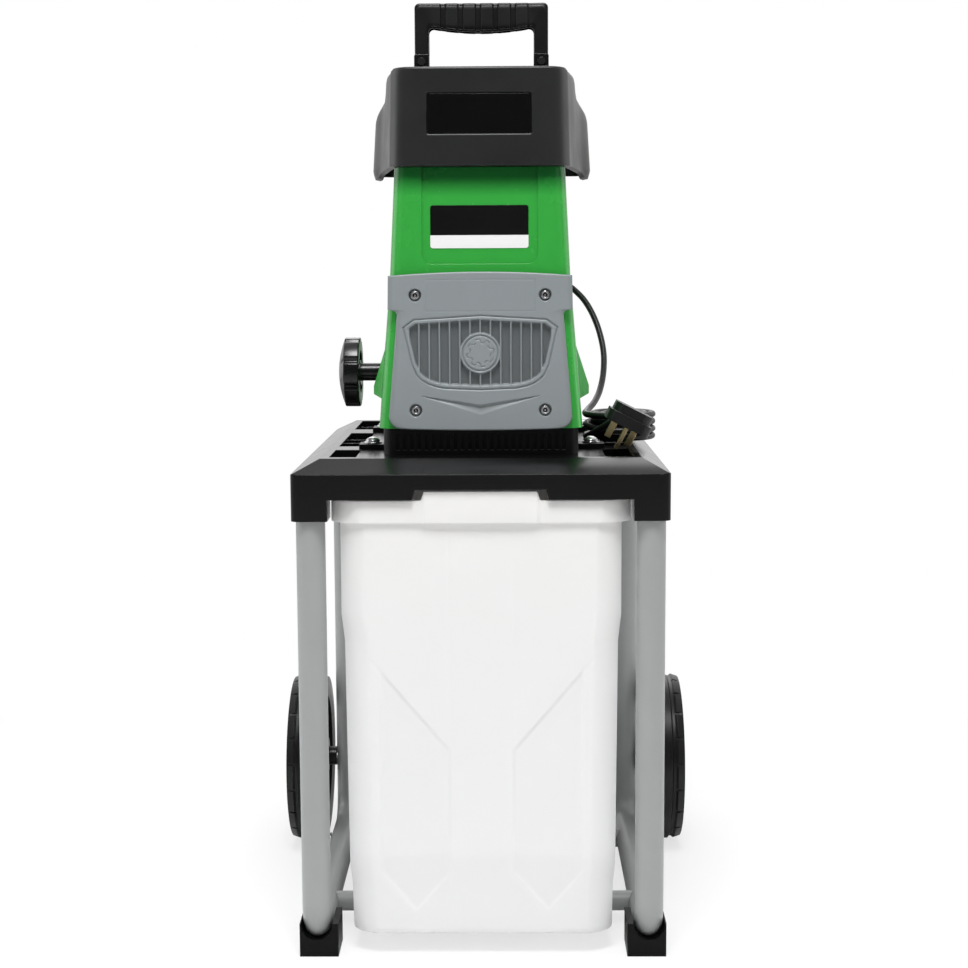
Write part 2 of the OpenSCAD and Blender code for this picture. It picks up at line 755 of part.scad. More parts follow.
module collection_box() {
    pull_t = 9;
    pull_rise = notch_h - 0.5;
    panel_depth = 0.8;
    skirt_z = box_rim_top - box_rim_h;
    color(plastic_white) difference() {
        union() {
            box_form(0);
            translate([0, 0, skirt_z]) linear_extrude(box_rim_h) intersection() {
                box_plan(box_rim_reach);
                translate([-platform_w, box_y0 - box_rim_front])
                    square([2 * platform_w, box_d + 2 * box_rim_front]);
            }
            translate([0, box_y0, skirt_z - 3]) intersection() {
                along_y(-pull_t, pull_t) translate([0, (box_rim_h + pull_rise) / 2])
                    rounded_rect(2 * pull_half, box_rim_h + pull_rise + 6, 8);
                linear_extrude(2 * box_rim_h) translate([0, -0.2]) rounded_rect(2 * pull_half, 2 * 6.5, 6);
            }
        }
        box_form(box_wall);
        difference() {
            translate([0, 0, skirt_z - eps]) linear_extrude(box_rim_h - box_wall + eps) intersection() {
                box_plan(box_rim_reach - box_wall);
                translate([-platform_w, box_y0 - box_rim_front + box_wall])
                    square([2 * platform_w, box_d + 2 * box_rim_front - 2 * box_wall]);
            }
            box_form(0);
        }
        difference() {
            both() along_y(box_y0 - eps, box_y0 + 20) pennant();
            box_form(panel_depth);
        }
    }
}

// Plan of the skirt under both housings
module skirt_plan(inset) {
    translate([0, (front_y + 1 + rear_y - 2) / 2])
        rounded_rect(2 * skirt_half - 2 * inset, rear_y - front_y - 3 - 2 * inset, 16 - inset / 2);
}

// The black ring between platform and housing, with fluted sides and four bolt lugs
module base_skirt() {
    flutes = 24;
    flute_pitch = 7;
    side_flutes = 34;
    flute_w = 4;
    flute_h = skirt_h - 10;
    color(plastic_black) difference() {
        union() {
            difference() {
                translate([0, 0, platform_top]) linear_extrude(skirt_h) skirt_plan(0);
                translate([0, 0, platform_top - eps])
                    linear_extrude(skirt_h + 2 * eps) skirt_plan(skirt_wall);
            }
            difference() {
                at_bolts() translate([-22, -13, platform_top]) cube([44, 26, bolt_lug_t]);
                translate([0, 0, platform_top - eps]) linear_extrude(skirt_h) skirt_plan(skirt_wall - 0.5);
                both() translate([bolt_x + 13, front_y, platform_top - eps]) cube([40, 400, skirt_h]);
            }
            translate([tray_x0, capacitor_y0 + 4, foot_z - tray_t])
                cube([skirt_half - skirt_wall + eps - tray_x0, capacitor_len - 8, tray_t]);
        }
        for (i = [0 : flutes - 1])
            translate([(i - (flutes - 1) / 2) * flute_pitch - flute_w / 2, front_y, platform_top + 5])
                cube([flute_w, 1 + 2.5, flute_h]);
        for (i = [0 : side_flutes - 1], x = [-1, 1])
            if (min([for (y = bolt_ys) abs(front_y + 26 + i * 8 - y)]) > 18)
                translate([x * skirt_half - 2.5, front_y + 26 + i * 8 - flute_w / 2, platform_top + 5])
                    cube([5, flute_w, flute_h]);
        at_bolts() translate([0, 0, platform_top - eps]) cylinder(d = bolt_d + 2 * fit_gap, h = skirt_h);
    }
}

// Dome-headed bolts and nuts through the lugs and the platform's bosses
module platform_bolts() {
    head_z = platform_top + bolt_lug_t;
    boss_bottom = platform_top - boss_h - eps;
    color(steel) at_bolts() {
        translate([0, 0, boss_bottom - 9]) cylinder(d = bolt_d, h = head_z - boss_bottom + 10);
        translate([0, 0, head_z]) cylinder(d = 2.2 * bolt_d, h = 1.5);
        translate([0, 0, head_z]) intersection() {
            cylinder(d = 1.8 * bolt_d, h = 7);
            translate([0, 0, -3]) sphere(r = 9.5);
        }
        translate([0, 0, boss_bottom - 6.5]) cylinder(d = 13 / cos(30), h = 6.5, $fn = 6);
    }
}

// Outer form of the housing's lower and upper part, drawn in by inset
module housing_loft(inset, y1) {
    hull() {
        level(foot_z, foot_half - inset, front_y + inset, y1, 14);
        level(waist_z, waist_half - inset, front_y + inset, y1, 12);
    }
    hull() {
        level(waist_z, waist_half - inset, front_y + inset, y1, 12);
        level(housing_top - 0.02, top_half - inset, front_y + neck_lean + inset, y1, 12);
    }
}

// A swelling on each side round the adjuster
module side_bulge() {
    hull() {
        translate([bulge_half - 1, drum_y - 38, foot_z + 30]) cube([1, 76, 8]);
        translate([waist_half - 12, drum_y - 74, foot_z + 17]) cube([4, 148, 104]);
    }
}

// Screw places of the grille panel
module at_panel_screws() {
    for (x = [-1, 1], z = panel_screw_zs)
        translate([x * panel_screw_x, front_y, z]) children();
}

module front_housing() {
    recess_half = 55.5;
    window_half = top_half - 5;
    recess_z = waist_z + 12;
    color(plastic_green) difference() {
        union() {
            housing_loft(0, seam_y);
            both() side_bulge();
        }
        difference() {
            housing_loft(shell_wall, seam_y - shell_wall);
            translate([-platform_w / 2, front_y, housing_top - shell_wall])
                cube([platform_w, platform_d, 2 * shell_wall]);
        }
        translate([-window_half, seam_y - 2 * shell_wall, foot_z - eps])
            cube([2 * window_half, 3 * shell_wall, rear_top - 26 - foot_z]);
        translate([-feed_half - 3.3, drum_y0 - end_gap - 3.3, housing_top - 2 * shell_wall])
            cube([2 * feed_half + 6.6, drum_len + 2 * end_gap + 6.6, 4 * shell_wall]);
        bar_x(knob_hub_r + slide_gap, -bulge_half - eps, -waist_half + 16, drum_y, screw_z);
        at_panel_screws() bar_y(pilot_r, -eps, 2 * shell_wall, 0, 0);
        translate([0, front_y, waist_z]) rotate([-atan(neck_lean / neck_h), 0, 0]) along_y(-10, 1.8)
            translate([0, recess_z - waist_z + neck_h / 2]) rounded_rect(2 * recess_half, neck_h, 10);
    }
}

// Outer form of the rear housing, drawn in by inset
module rear_loft(inset, y0) {
    hull() {
        level(foot_z, foot_half - inset, y0, rear_y - inset, 26);
        level(waist_z, waist_half - inset, y0, rear_y - inset, 24);
    }
    hull() {
        level(waist_z, waist_half - inset, y0, rear_y - inset, 24);
        level(rear_top - 18 - inset, waist_half - 2 - inset, y0, rear_y - inset, 22);
        level(rear_top - inset - 0.02, waist_half - 18 - inset, y0, rear_y - 18 - inset, 20);
    }
}

module rear_housing() {
    vents = 11;
    side_vents = 7;
    vent_pitch = 10;
    vent_w = 4;
    vent_h = 62;
    side_vent_h = 54;
    color(plastic_green) difference() {
        rear_loft(0, seam_y - 40);
        difference() {
            rear_loft(shell_wall, seam_y - 50);
            translate([-platform_w / 2, seam_y - 60, rear_top - shell_wall])
                cube([platform_w, platform_d, 2 * shell_wall]);
        }
        translate([-platform_w / 2, seam_y - 60, foot_z - eps]) cube([platform_w, 60, 2 * waist_h]);
        for (i = [0 : vents - 1])
            translate([(i - (vents - 1) / 2) * vent_pitch, rear_y, foot_z + 18 + vent_h / 2])
                cube([vent_w, 4 * shell_wall, vent_h], center = true);
        for (i = [0 : side_vents - 1], x = [-1, 1])
            translate([x * foot_half - 20, seam_y + 24 + i * vent_pitch, foot_z + 60])
                cube([40, vent_w, side_vent_h]);
        translate([-switch_w / 2 + 14, rear_y - 2 * shell_wall, switch_z0 + 14])
            cube([switch_w - 28, 4 * shell_wall, switch_h - 40]);
    }
}

// Outline of the grille panel: arched top, a shoulder on each side, round lower corners
module panel_outline() {
    shoulder_z = foot_z + 114;
    top_z = waist_z + 1;
    polygon(both_sides(concat(
        [[0, foot_z - 1.5], [40, foot_z - 0.8]],
        arc(76.5, foot_z + 12, 12, -90, 0, 6),
        [[80, shoulder_z - 4]],
        arc(84, shoulder_z - 4, 4, 180, 90, 3),
        [[waist_half + 1.2, shoulder_z], [waist_half - 1, top_z], [43, top_z + 2.8], [0, top_z + 3.7]])));
}

// Shield-shaped outline of the grille, drawn in by inset
module grille_outline(inset) {
    mid = foot_z + 73;
    polygon(both_sides([
        [0, mid - 36 + inset], [45 - inset / 2, mid - 33 + inset], [62 - inset, mid - 21 + inset / 2],
        [75.5 - inset, mid + 25 - inset / 2], [64 - inset / 2, mid + 32.8 - inset], [0, mid + 36.7 - inset]
    ]));
}

// A plain eight-toothed wheel, the motif on the roundel
module toothed_wheel(r) {
    teeth = 8;
    polygon([for (i = [0 : teeth - 1], p = [[0.72, 0], [1, 6], [1, 20], [0.72, 26]])
        r * p[0] * [cos(360 * i / teeth + p[1]), sin(360 * i / teeth + p[1])]]);
}

module grille_panel() {
    face = front_y - panel_t;
    recess = 3;
    rib_w = 2.4;
    rib_pitch = 9.8;
    roundel_r = 19.5;
    roundel_z = foot_z + 73;
    seat_d = 12.5;
    color(plastic_grey) difference() {
        union() {
            difference() {
                along_y(face, front_y) panel_outline();
                along_y(face - eps, face + 1) difference() {
                    grille_outline(0);
                    grille_outline(1.6);
                }
                along_y(face - eps, face + recess) grille_outline(5);
                along_y(face - eps, face + 1.2) polygon(both_sides([
                    [0, foot_z + 13.6], [57, foot_z + 32], [0, foot_z + 23.6]]));
                along_y(face - eps, face + 0.6) translate([0, waist_z - 18]) difference() {
                    square([104, 30], center = true);
                    square([102, 28], center = true);
                }
            }
            intersection() {
                along_y(face, face + recess + 0.5) grille_outline(4.5);
                for (i = [0 : grille_ribs - 1])
                    translate([(i - (grille_ribs - 1) / 2) * rib_pitch - rib_w / 2, face + 0.4, foot_z])
                        cube([rib_w, recess + 1, waist_h]);
            }
            bar_y(roundel_r, face, face + recess + 0.5, 0, roundel_z);
        }
        along_y(face - eps, face + 0.8, 0, roundel_z) difference() {
            circle(roundel_r - 1.5);
            circle(roundel_r - 2.7);
        }
        along_y(face - eps, face + 0.8, 0, roundel_z) difference() {
            toothed_wheel(roundel_r - 4.5);
            toothed_wheel(roundel_r - 5.8);
        }
        at_panel_screws() bar_y(seat_d / 2, -panel_t - eps, -panel_t + 3.6, 0, 0);
        at_panel_screws() bar_y(pilot_r, -panel_t - eps, eps, 0, 0);
    }
}

// Socket-headed screws of the panel
module panel_screws() {
    head_d = 9;
    color(steel) at_panel_screws() difference() {
        union() {
            bar_y(2, -panel_t + 3, 2.5 * shell_wall, 0, 0);
            bar_y(head_d / 2, -panel_t + 0.6, -panel_t + 3.5, 0, 0);
        }
        translate([0, -panel_t + 2, 0]) rotate([90, 0, 0]) cylinder(d = 4.6, h = 4, $fn = 6);
    }
}

// Outer form of the hopper: an upright box with round corners and a flared wing on each side
module hopper_form() {
    hull() {
        level(hopper_z, top_half + 3, hopper_y0 + 4, hopper_y1, 26);
        level(hopper_top - 0.02, hopper_half, hopper_y0, hopper_y1, 26);
    }
    hull() {
        level(hopper_z - wing_drop, wing_half, wing_y0, wing_y1, 18);
        level(hopper_z + wing_h, wing_half - 2, wing_y0, wing_y1, 18);
        level(hopper_top - 14, hopper_half - 3, wing_y0 - 8, wing_y1, 18);
    }
}

// Feed funnel from the mouth down to the chute, grown outwards by wall
module funnel(wall) {
    y0 = drum_y0 - end_gap - wall;
    y1 = drum_y1 + end_gap + wall;
    hull() {
        level(hopper_z - eps, feed_half + wall, y0, y1, 6);
        level(hopper_z + 12, feed_half + wall, y0, y1, 6);
        level(hopper_top - 12, hopper_half - 2 * hopper_wall + wall, hopper_y0 + 2 * hopper_wall - wall,
            hopper_y1 - 2 * hopper_wall + wall, 22);
        level(hopper_top + eps, hopper_half - hopper_wall, hopper_y0 + hopper_wall,
            hopper_y1 - hopper_wall, 22);
    }
}

module hopper() {
    seat_half = top_half + (waist_half - top_half) * wing_drop / neck_h + slide_gap;
    plate_half = 49.5;
    plate_z = hopper_z + 49.5;
    plate_h = 38;
    plate_depth = 2.4;
    color(plastic_black) difference() {
        union() {
            hopper_form();
            both() translate([handle_half - arm_w - lug_over, hopper_y1 - lug_t, hopper_top - 20])
                cube([arm_w + 2 * lug_over, lug_t, lug_h + 20]);
        }
        difference() {
            hull() {
                level(hopper_z - wing_drop - eps, wing_half - hopper_wall, wing_y0 + hopper_wall,
                    wing_y1 - hopper_wall, 14);
                level(hopper_z + wing_h, wing_half - 2 - hopper_wall, wing_y0 + hopper_wall,
                    wing_y1 - hopper_wall, 14);
                level(hopper_top - 30, hopper_half - 3 - hopper_wall, wing_y0 - 8 + hopper_wall,
                    wing_y1 - hopper_wall, 14);
            }
            funnel(hopper_wall);
        }
        funnel(0);
        translate([-seat_half, hopper_y0 - eps, hopper_z - hopper_h])
            cube([2 * seat_half, hopper_y1 - hopper_y0 + 2 * eps, hopper_h]);
        along_y(hopper_y0 - eps, hopper_y0 + plate_depth, 0, plate_z)
            square([2 * plate_half, plate_h], center = true);
        at_handle_screws() bar_y(pilot_r, -lug_t - eps, eps, 0, 0);
    }
}

// Feed chute between hopper and cutting chamber, with a flange on the chamber
module feed_chute() {
    wall = 3;
    flange_t = 4;
    w = 2 * feed_half;
    d = drum_len + 2 * end_gap;
    color(plastic_black) translate([0, drum_y, chamber_top]) difference() {
        union() {
            linear_extrude(hopper_z - chamber_top) square([w + 2 * wall, d + 2 * wall], center = true);
            linear_extrude(flange_t) square([w + 2 * end_wall, d + 2 * end_wall], center = true);
        }
        translate([0, 0, -eps])
            linear_extrude(hopper_z - chamber_top + 2 * eps) square([w, d], center = true);
    }
}

// Screw places through the hopper's lugs into the handle's arms
module at_handle_screws() {
    for (x = [-1, 1])
        translate([x * (handle_half - arm_w / 2), hopper_y1, hopper_top + lug_h - 7.5]) children();
}

// Front view of the handle's grip, with a bowed underside
module grip_outline() {
    low = handle_top - 23;
    bow = 7;
    half = handle_half - arm_w / 2;
    polygon(both_sides(concat(
        [for (i = [0 : 8]) [half * i / 8, low - bow * (1 - (i / 8) * (i / 8))]],
        [[half, handle_top]])));
}

// Handle with bands along its grip, parted by grooves before and behind
module carry_handle() {
    arm_y = hopper_y1 + fit_gap;
    arm_low = hopper_top - arm_below;
    grip_half = handle_half - arm_w;
    band_pitch = 2 * grip_half / grip_bands;
    groove_w = 0.38 * band_pitch;
    groove_depth = 2;
    color(plastic_black) difference() {
        union() {
            both() translate([grip_half, arm_y, arm_low]) cube([arm_w, arm_d, handle_top - arm_low]);
            along_y(arm_y, arm_y + arm_d) grip_outline();
        }
        for (i = [1 : grip_bands], y = [arm_y - eps, arm_y + arm_d - groove_depth])
            translate([i * band_pitch - grip_half - groove_w, y, arm_low])
                cube([groove_w, groove_depth + eps, handle_top]);
        at_handle_screws() bar_y(1.9, -eps, 14, 0, 0);
    }
}

module handle_screws() {
    color(steel) at_handle_screws() {
        bar_y(1.8, -lug_t - 0.5, 12, 0, 0);
        bar_y(4, -lug_t - 2.4, -lug_t, 0, 0);
    }
}

// Lobed knob with a raised face and a hub towards the housing
module adjusting_knob() {
    lobe_r = knob_d * 0.13;
    core_r = knob_d / 2 - lobe_r;
    crown = 5;
    color(plastic_black) difference() {
        union() {
            along_x(knob_x0 + crown, knob_x1, drum_y, screw_z) {
                circle(core_r + 2);
                for (i = [0 : knob_lobes - 1])
                    rotate(360 * i / knob_lobes) translate([core_r, 0]) circle(lobe_r);
            }
            translate([knob_x0, drum_y, screw_z]) rotate([0, 90, 0])
                cylinder(r1 = core_r - crown, r2 = core_r, h = crown + eps);
            bar_x(knob_hub_r, knob_x1 - eps, knob_hub_x1, drum_y, screw_z);
        }
        bar_x(screw_d / 2 + run_gap, knob_x1 - 8, knob_hub_x1 + eps, drum_y, screw_z);
        difference() {
            bar_x(core_r - 4, knob_x1 - 6, knob_x1 + eps, drum_y, screw_z);
            bar_x(knob_hub_r + 3, knob_x1 - 7, knob_x1 + 2 * eps, drum_y, screw_z);
        }
    }
}

module adjusting_screw() {
    tip_r = screw_d / 2 - 2;
    color(steel) {
        bar_x(screw_d / 2, knob_x1 - 8 + run_gap, plate_x0 - slide_gap, drum_y, screw_z);
        bar_x(tip_r, plate_x0 - eps, plate_x0 + screw_tip - slide_gap, drum_y, screw_z);
    }
}

// Threaded bush in the chamber's left wall, with a flange outside
module adjuster_bush() {
    color(steel) difference() {
        union() {
            bar_x(bush_r, chamber_x0 - 3, chamber_x0 + side_wall, drum_y, screw_z);
            bar_x(bush_r + 4, chamber_x0 - 5, chamber_x0, drum_y, screw_z);
        }
        bar_x(screw_d / 2 + run_gap, chamber_x0 - 6, chamber_x0 + side_wall + eps, drum_y, screw_z);
    }
}

// Counter plate with a hollow face round the drum
module counter_plate() {
    color(cast_metal) difference() {
        translate([plate_x0, drum_y0, plate_z0]) cube([plate_x1 - plate_x0, drum_len, plate_z1 - plate_z0]);
        bar_y(drum_r + plate_gap, drum_y0 - eps, drum_y1 + eps, drum_x, drum_z);
        bar_x(screw_d / 2 - 2 + run_gap, plate_x0 - eps, plate_x0 + screw_tip, drum_y, screw_z);
    }
}

// Cast chamber: bearing walls in front and behind, open above and below, ledges under the plate
module cutting_chamber() {
    ledge = 9;
    ledge_w = plate_x1 - chamber_x0 - side_wall - 8;
    color(cast_metal) difference() {
        union() {
            difference() {
                translate([chamber_x0, chamber_y0, platform_top])
                    cube([chamber_x1 - chamber_x0, chamber_y1 - chamber_y0, chamber_top - platform_top]);
                translate([chamber_x0 + side_wall, chamber_y0 + end_wall, platform_top - eps])
                    cube([chamber_x1 - chamber_x0 - 2 * side_wall, drum_len + 2 * end_gap, chamber_top]);
            }
            for (y = [chamber_y0 + end_wall - eps, chamber_y1 - end_wall + eps - ledge])
                translate([chamber_x0 + side_wall - eps, y, plate_z0 - slide_gap - ledge])
                    cube([ledge_w, ledge, ledge]);
        }
        bar_y(bearing_r + fit_gap, chamber_y0 + 1, chamber_y0 + end_wall + eps, drum_x, drum_z);
        bar_y(bearing_r + fit_gap, chamber_y1 - end_wall - eps, chamber_y1 - 1, drum_x, drum_z);
        bar_y(drum_shaft_d / 2 + 2, chamber_y0 - eps, chamber_y1 + eps, drum_x, drum_z);
        bar_x(bush_r + fit_gap, chamber_x0 - eps, chamber_x0 + side_wall + eps, drum_y, screw_z);
    }
}

// Toothed drum: hooked teeth round a core
module cutter_drum() {
    root = drum_r - 9;
    pitch = 360 / drum_teeth;
    tooth = [[1, 0], [0.985, 0.16], [0.86, 0.5], [root / drum_r, 0.72], [root / drum_r, 0.9]];
    color(steel) along_y(drum_y0, drum_y1, drum_x, drum_z) difference() {
        polygon([for (i = [0 : drum_teeth - 1], p = tooth)
            drum_r * p[0] * [cos(pitch * (i + p[1])), sin(pitch * (i + p[1]))]]);
        circle(drum_shaft_d / 2 + fit_gap);
    }
}

module drum_shaft() {
    color(steel) bar_y(drum_shaft_d / 2, chamber_y0 - 4, stage_2_y1, drum_x, drum_z);
}

// A plain ring that stands for a ball bearing, along Y
module ring_y(r_out, r_in, y0, w, x, z) {
    difference() {
        bar_y(r_out, y0, y0 + w, x, z);
        bar_y(r_in, y0 - eps, y0 + w + eps, x, z);
    }
}
module drum_bearings() {
    color(steel) for (y = [chamber_y0 + 1, chamber_y1 - 1 - bearing_w])
        ring_y(bearing_r, drum_shaft_d / 2 + run_gap, y, bearing_w, drum_x, drum_z);
}

// Roll angle of an involute at radius r over base radius rb, in degrees
function involute(rb, r) = r <= rb ? 0 : sqrt(r * r - rb * rb) / rb * 180 / PI - acos(rb / r);

// Outline of a spur gear, with a tooth centred on the first axis
module gear_outline(teeth, m) {
    rp = teeth * m / 2;
    rb = rp * cos(pressure_angle);
    tip = rp + addendum * m;
    root = rp - dedendum * m;
    radii = [root, max(rb, root + 0.01), (rb + rp) / 2, rp, (rp + tip) / 2, tip];
    half = 90 / teeth - backlash / 4 / rp * 180 / PI + involute(rb, rp);
    polygon([for (i = [0 : teeth - 1], k = [0 : 2 * len(radii) - 1])
        let (up = k < len(radii))
        let (r = radii[up ? k : 2 * len(radii) - 1 - k])
        let (a = 360 * i / teeth + (up ? -1 : 1) * (half - involute(rb, r)))
        r * [cos(a), sin(a)]]);
}

module output_gear() {
    color(steel) along_y(stage_2_y0, stage_2_y1, drum_x, drum_z) difference() {
        rotate(mesh_2 + 180 + 180 / gear_teeth) gear_outline(gear_teeth, module_2);
        circle(drum_shaft_d / 2 + fit_gap);
    }
}

// Layshaft with the second stage's pinion cut on it
module layshaft() {
    color(steel) {
        bar_y(lay_shaft_r, case_y0 + 1, cover_y1 - 1, lay_x, lay_z);
        along_y(stage_2_y0, stage_2_y1, lay_x, lay_z) rotate(mesh_2) gear_outline(pinion_teeth, module_2);
    }
}
module lay_gear() {
    color(steel) along_y(stage_1_y0, stage_1_y1, lay_x, lay_z) difference() {
        rotate(mesh_1 + 180 + 180 / gear_teeth) gear_outline(gear_teeth, module_1);
        circle(lay_shaft_r + fit_gap);
    }
}

// Outline of the gear case, grown by grow round the gears
module case_outline(grow) {
    r_1 = gear_teeth * module_1 / 2 + addendum * module_1;
    r_2 = gear_teeth * module_2 / 2 + addendum * module_2;
    translate([drum_x, drum_z]) circle(r_2 + grow);
    translate([lay_x, lay_z]) circle(r_1 + grow);
    translate([motor_x, motor_z]) circle(stator_r - 6 + grow);
}
module gear_case() {
    color(cast_metal) difference() {
        along_y(case_y0, case_split) case_outline(2 + case_wall);
        along_y(case_y0 + case_wall, case_split + eps) case_outline(2);
        bar_y(drum_shaft_d / 2 + 1, case_y0 - eps, case_y0 + case_wall + eps, drum_x, drum_z);
        bar_y(lay_shaft_r + run_gap, case_y0 - eps, case_y0 + case_wall + eps, lay_x, lay_z);
    }
}

// Cover of the gear case, which is also the motor's front shield
module gear_case_cover() {
    color(cast_metal) difference() {
        union() {
            along_y(case_split, cover_y1) case_outline(2 + case_wall);
            bar_y(stator_r, cover_y1 - eps, stator_y0, motor_x, motor_z);
        }
        along_y(case_split - eps, cover_y1 - case_wall) case_outline(2);
        bar_y(lay_shaft_r + run_gap, case_split, cover_y1 + eps, lay_x, lay_z);
        bar_y(motor_bearing_r + fit_gap, cover_y1, cover_y1 + motor_bearing_w, motor_x, motor_z);
        bar_y(motor_shaft_d / 2 + 1.5, case_split, stator_y0, motor_x, motor_z);
        bar_y(stator_r - 9, cover_y1 + motor_bearing_w - 0.01, stator_y0 + eps, motor_x, motor_z);
        at_motor_bolts() bar_y(2.4, stator_y0 - 14, stator_y0 + eps, 0, 0);
    }
}

module at_motor_bolts() {
    for (a = [45 : 90 : 315])
        translate([motor_x + motor_bolt_r * cos(a), 0, motor_z + motor_bolt_r * sin(a)]) children();
}

// Motor shaft with the first stage's pinion cut on its front end
module rotor_shaft() {
    color(steel) {
        bar_y(motor_shaft_d / 2, stage_1_y1 - eps, fan_y0 + fan_t, motor_x, motor_z);
        along_y(stage_1_y0, stage_1_y1, motor_x, motor_z)
            rotate(mesh_1) gear_outline(pinion_teeth, module_1);
    }
}
module rotor_core() {
    color(steel)
        ring_y(bore_r - air_gap, motor_shaft_d / 2 + fit_gap, stator_y0, stator_len, motor_x, motor_z);
}
module rotor_bearings() {
    color(steel) for (y = [cover_y1, cap_y1 - motor_bearing_w])
        ring_y(motor_bearing_r, motor_shaft_d / 2 + run_gap, y, motor_bearing_w, motor_x, motor_z);
}

// Laminated ring with bolt holes and slots towards the rotor
module stator_core() {
    slots = 24;
    color(steel) difference() {
        ring_y(stator_r, bore_r, stator_y0, stator_len, motor_x, motor_z);
        at_motor_bolts() bar_y(2.4, stator_y0 - eps, stator_y1 + eps, 0, 0);
        along_y(stator_y0 - eps, stator_y1 + eps, motor_x, motor_z) for (i = [0 : slots - 1])
            rotate(360 * i / slots) translate([bore_r + 1.5, -1.3]) square([9, 2.6]);
    }
}

// End turns at both ends of the stator
module stator_windings() {
    ring_in = bore_r + 2;
    ring_out = stator_r - 10;
    color(copper) for (y = [stator_y0 - end_turn, stator_y1])
        translate([motor_x, y, motor_z]) rotate([-90, 0, 0]) rotate_extrude()
            translate([ring_in, 0]) translate([(ring_out - ring_in) / 2, end_turn / 2])
                rounded_rect(ring_out - ring_in, end_turn, 4);
}

module motor_end_cap() {
    color(cast_metal) difference() {
        bar_y(stator_r, stator_y1, cap_y1, motor_x, motor_z);
        bar_y(stator_r - 9, stator_y1 - eps, cap_y1 - motor_bearing_w - 1, motor_x, motor_z);
        bar_y(motor_bearing_r + fit_gap, cap_y1 - motor_bearing_w - 2, cap_y1 + eps, motor_x, motor_z);
        at_motor_bolts() bar_y(2.4, stator_y1 - eps, cap_y1 + eps, 0, 0);
        for (i = [0 : 7])
            along_y(cap_y1 - 2 * motor_bearing_w, cap_y1 + eps, motor_x, motor_z) rotate(45 * i + 22.5)
                translate([(motor_bearing_r + stator_r) / 2 - 2, 0]) circle(6);
    }
}
module motor_bolts() {
    color(steel) at_motor_bolts() {
        bar_y(2.2, stator_y0 - 12, cap_y1 + 0.5, 0, 0);
        bar_y(4, cap_y1, cap_y1 + 3.2, 0, 0);
    }
}

// Radial fan on the shaft's rear end
module motor_fan() {
    fan_r = stator_r - 6;
    hub = 11;
    color(plastic_black) difference() {
        union() {
            bar_y(hub, fan_y0 + 1.5, fan_y0 + fan_t, motor_x, motor_z);
            bar_y(fan_r, fan_y0 + fan_t - 2, fan_y0 + fan_t, motor_x, motor_z);
            along_y(fan_y0 + 1.5, fan_y0 + fan_t - 1, motor_x, motor_z) for (i = [0 : fan_blades - 1])
                rotate(360 * i / fan_blades) translate([hub - 1, -1]) square([fan_r - hub + 0.5, 2]);
        }
        bar_y(motor_shaft_d / 2 + fit_gap, fan_y0, fan_y0 + fan_t + eps, motor_x, motor_z);
    }
}
module capacitor() {
    z = foot_z + fit_gap + capacitor_r;
    color(plastic_white) {
        bar_y(capacitor_r, capacitor_y0, capacitor_y0 + capacitor_len, capacitor_x, z);
        bar_y(5, capacitor_y0 - 6, capacitor_y0 + eps, capacitor_x, z);
    }
}

// Switch box behind the rear housing, open towards it
module switch_box() {
    mid_z = (switch_z0 + switch_z1) / 2;
    color(plastic_black) difference() {
        along_y(rear_y, switch_y1, 0, mid_z) rounded_rect(switch_w, switch_h, 9);
        along_y(rear_y - eps, inner_y, 0, mid_z)
            rounded_rect(switch_w - 2 * switch_wall, switch_h - 2 * switch_wall, 6);
        for (x = [-1, 1])
            bar_y(button_d / 2 + slide_gap, inner_y - eps, switch_y1 + eps, x * button_x, button_z);
        bar_y(selector_r - 5 + run_gap, inner_y - eps, switch_y1 + eps, -button_x, lower_z);
        bar_y(reset_r + slide_gap, inner_y - eps, switch_y1 + eps, button_x, lower_z);
        bar_x(gland_r - 2 + fit_gap, switch_w / 2 - switch_wall - eps, switch_w / 2 + eps, gland_y,
            gland_z);
    }
}

// A push button with a rim behind the wall; proud is its height over the box
module push_button(r, x, z, proud) {
    difference() {
        union() {
            bar_y(r, inner_y - eps, switch_y1 + proud, x, z);
            bar_y(r + button_rim, inner_y - slide_gap - 2, inner_y - slide_gap, x, z);
            bar_y(r / 2, inner_y - 8, inner_y, x, z);
        }
        translate([x, switch_y1 + proud + 3 * r - 0.8, z]) sphere(r = 3 * r, $fn = 128);
    }
}
module on_button() { color([0.1, 0.5, 0.2]) push_button(button_d / 2, -button_x, button_z, 4); }
module off_button() { color([0.75, 0.08, 0.06]) push_button(button_d / 2, button_x, button_z, 5); }
module reset_button() { color(plastic_black) push_button(reset_r, button_x, lower_z, 3.5); }

// Turning selector with a grip bar
module direction_selector() {
    color(plastic_black) {
        bar_y(selector_r, switch_y1 + slide_gap, switch_y1 + 5, -button_x, lower_z);
        bar_y(selector_r - 5, inner_y - 6, switch_y1 + 1, -button_x, lower_z);
        bar_y(selector_r - 3, inner_y - slide_gap - 2, inner_y - slide_gap, -button_x, lower_z);
        along_y(switch_y1 + 4, switch_y1 + 13, -button_x, lower_z) rounded_rect(6, 2 * selector_r - 3, 2.5);
    }
}

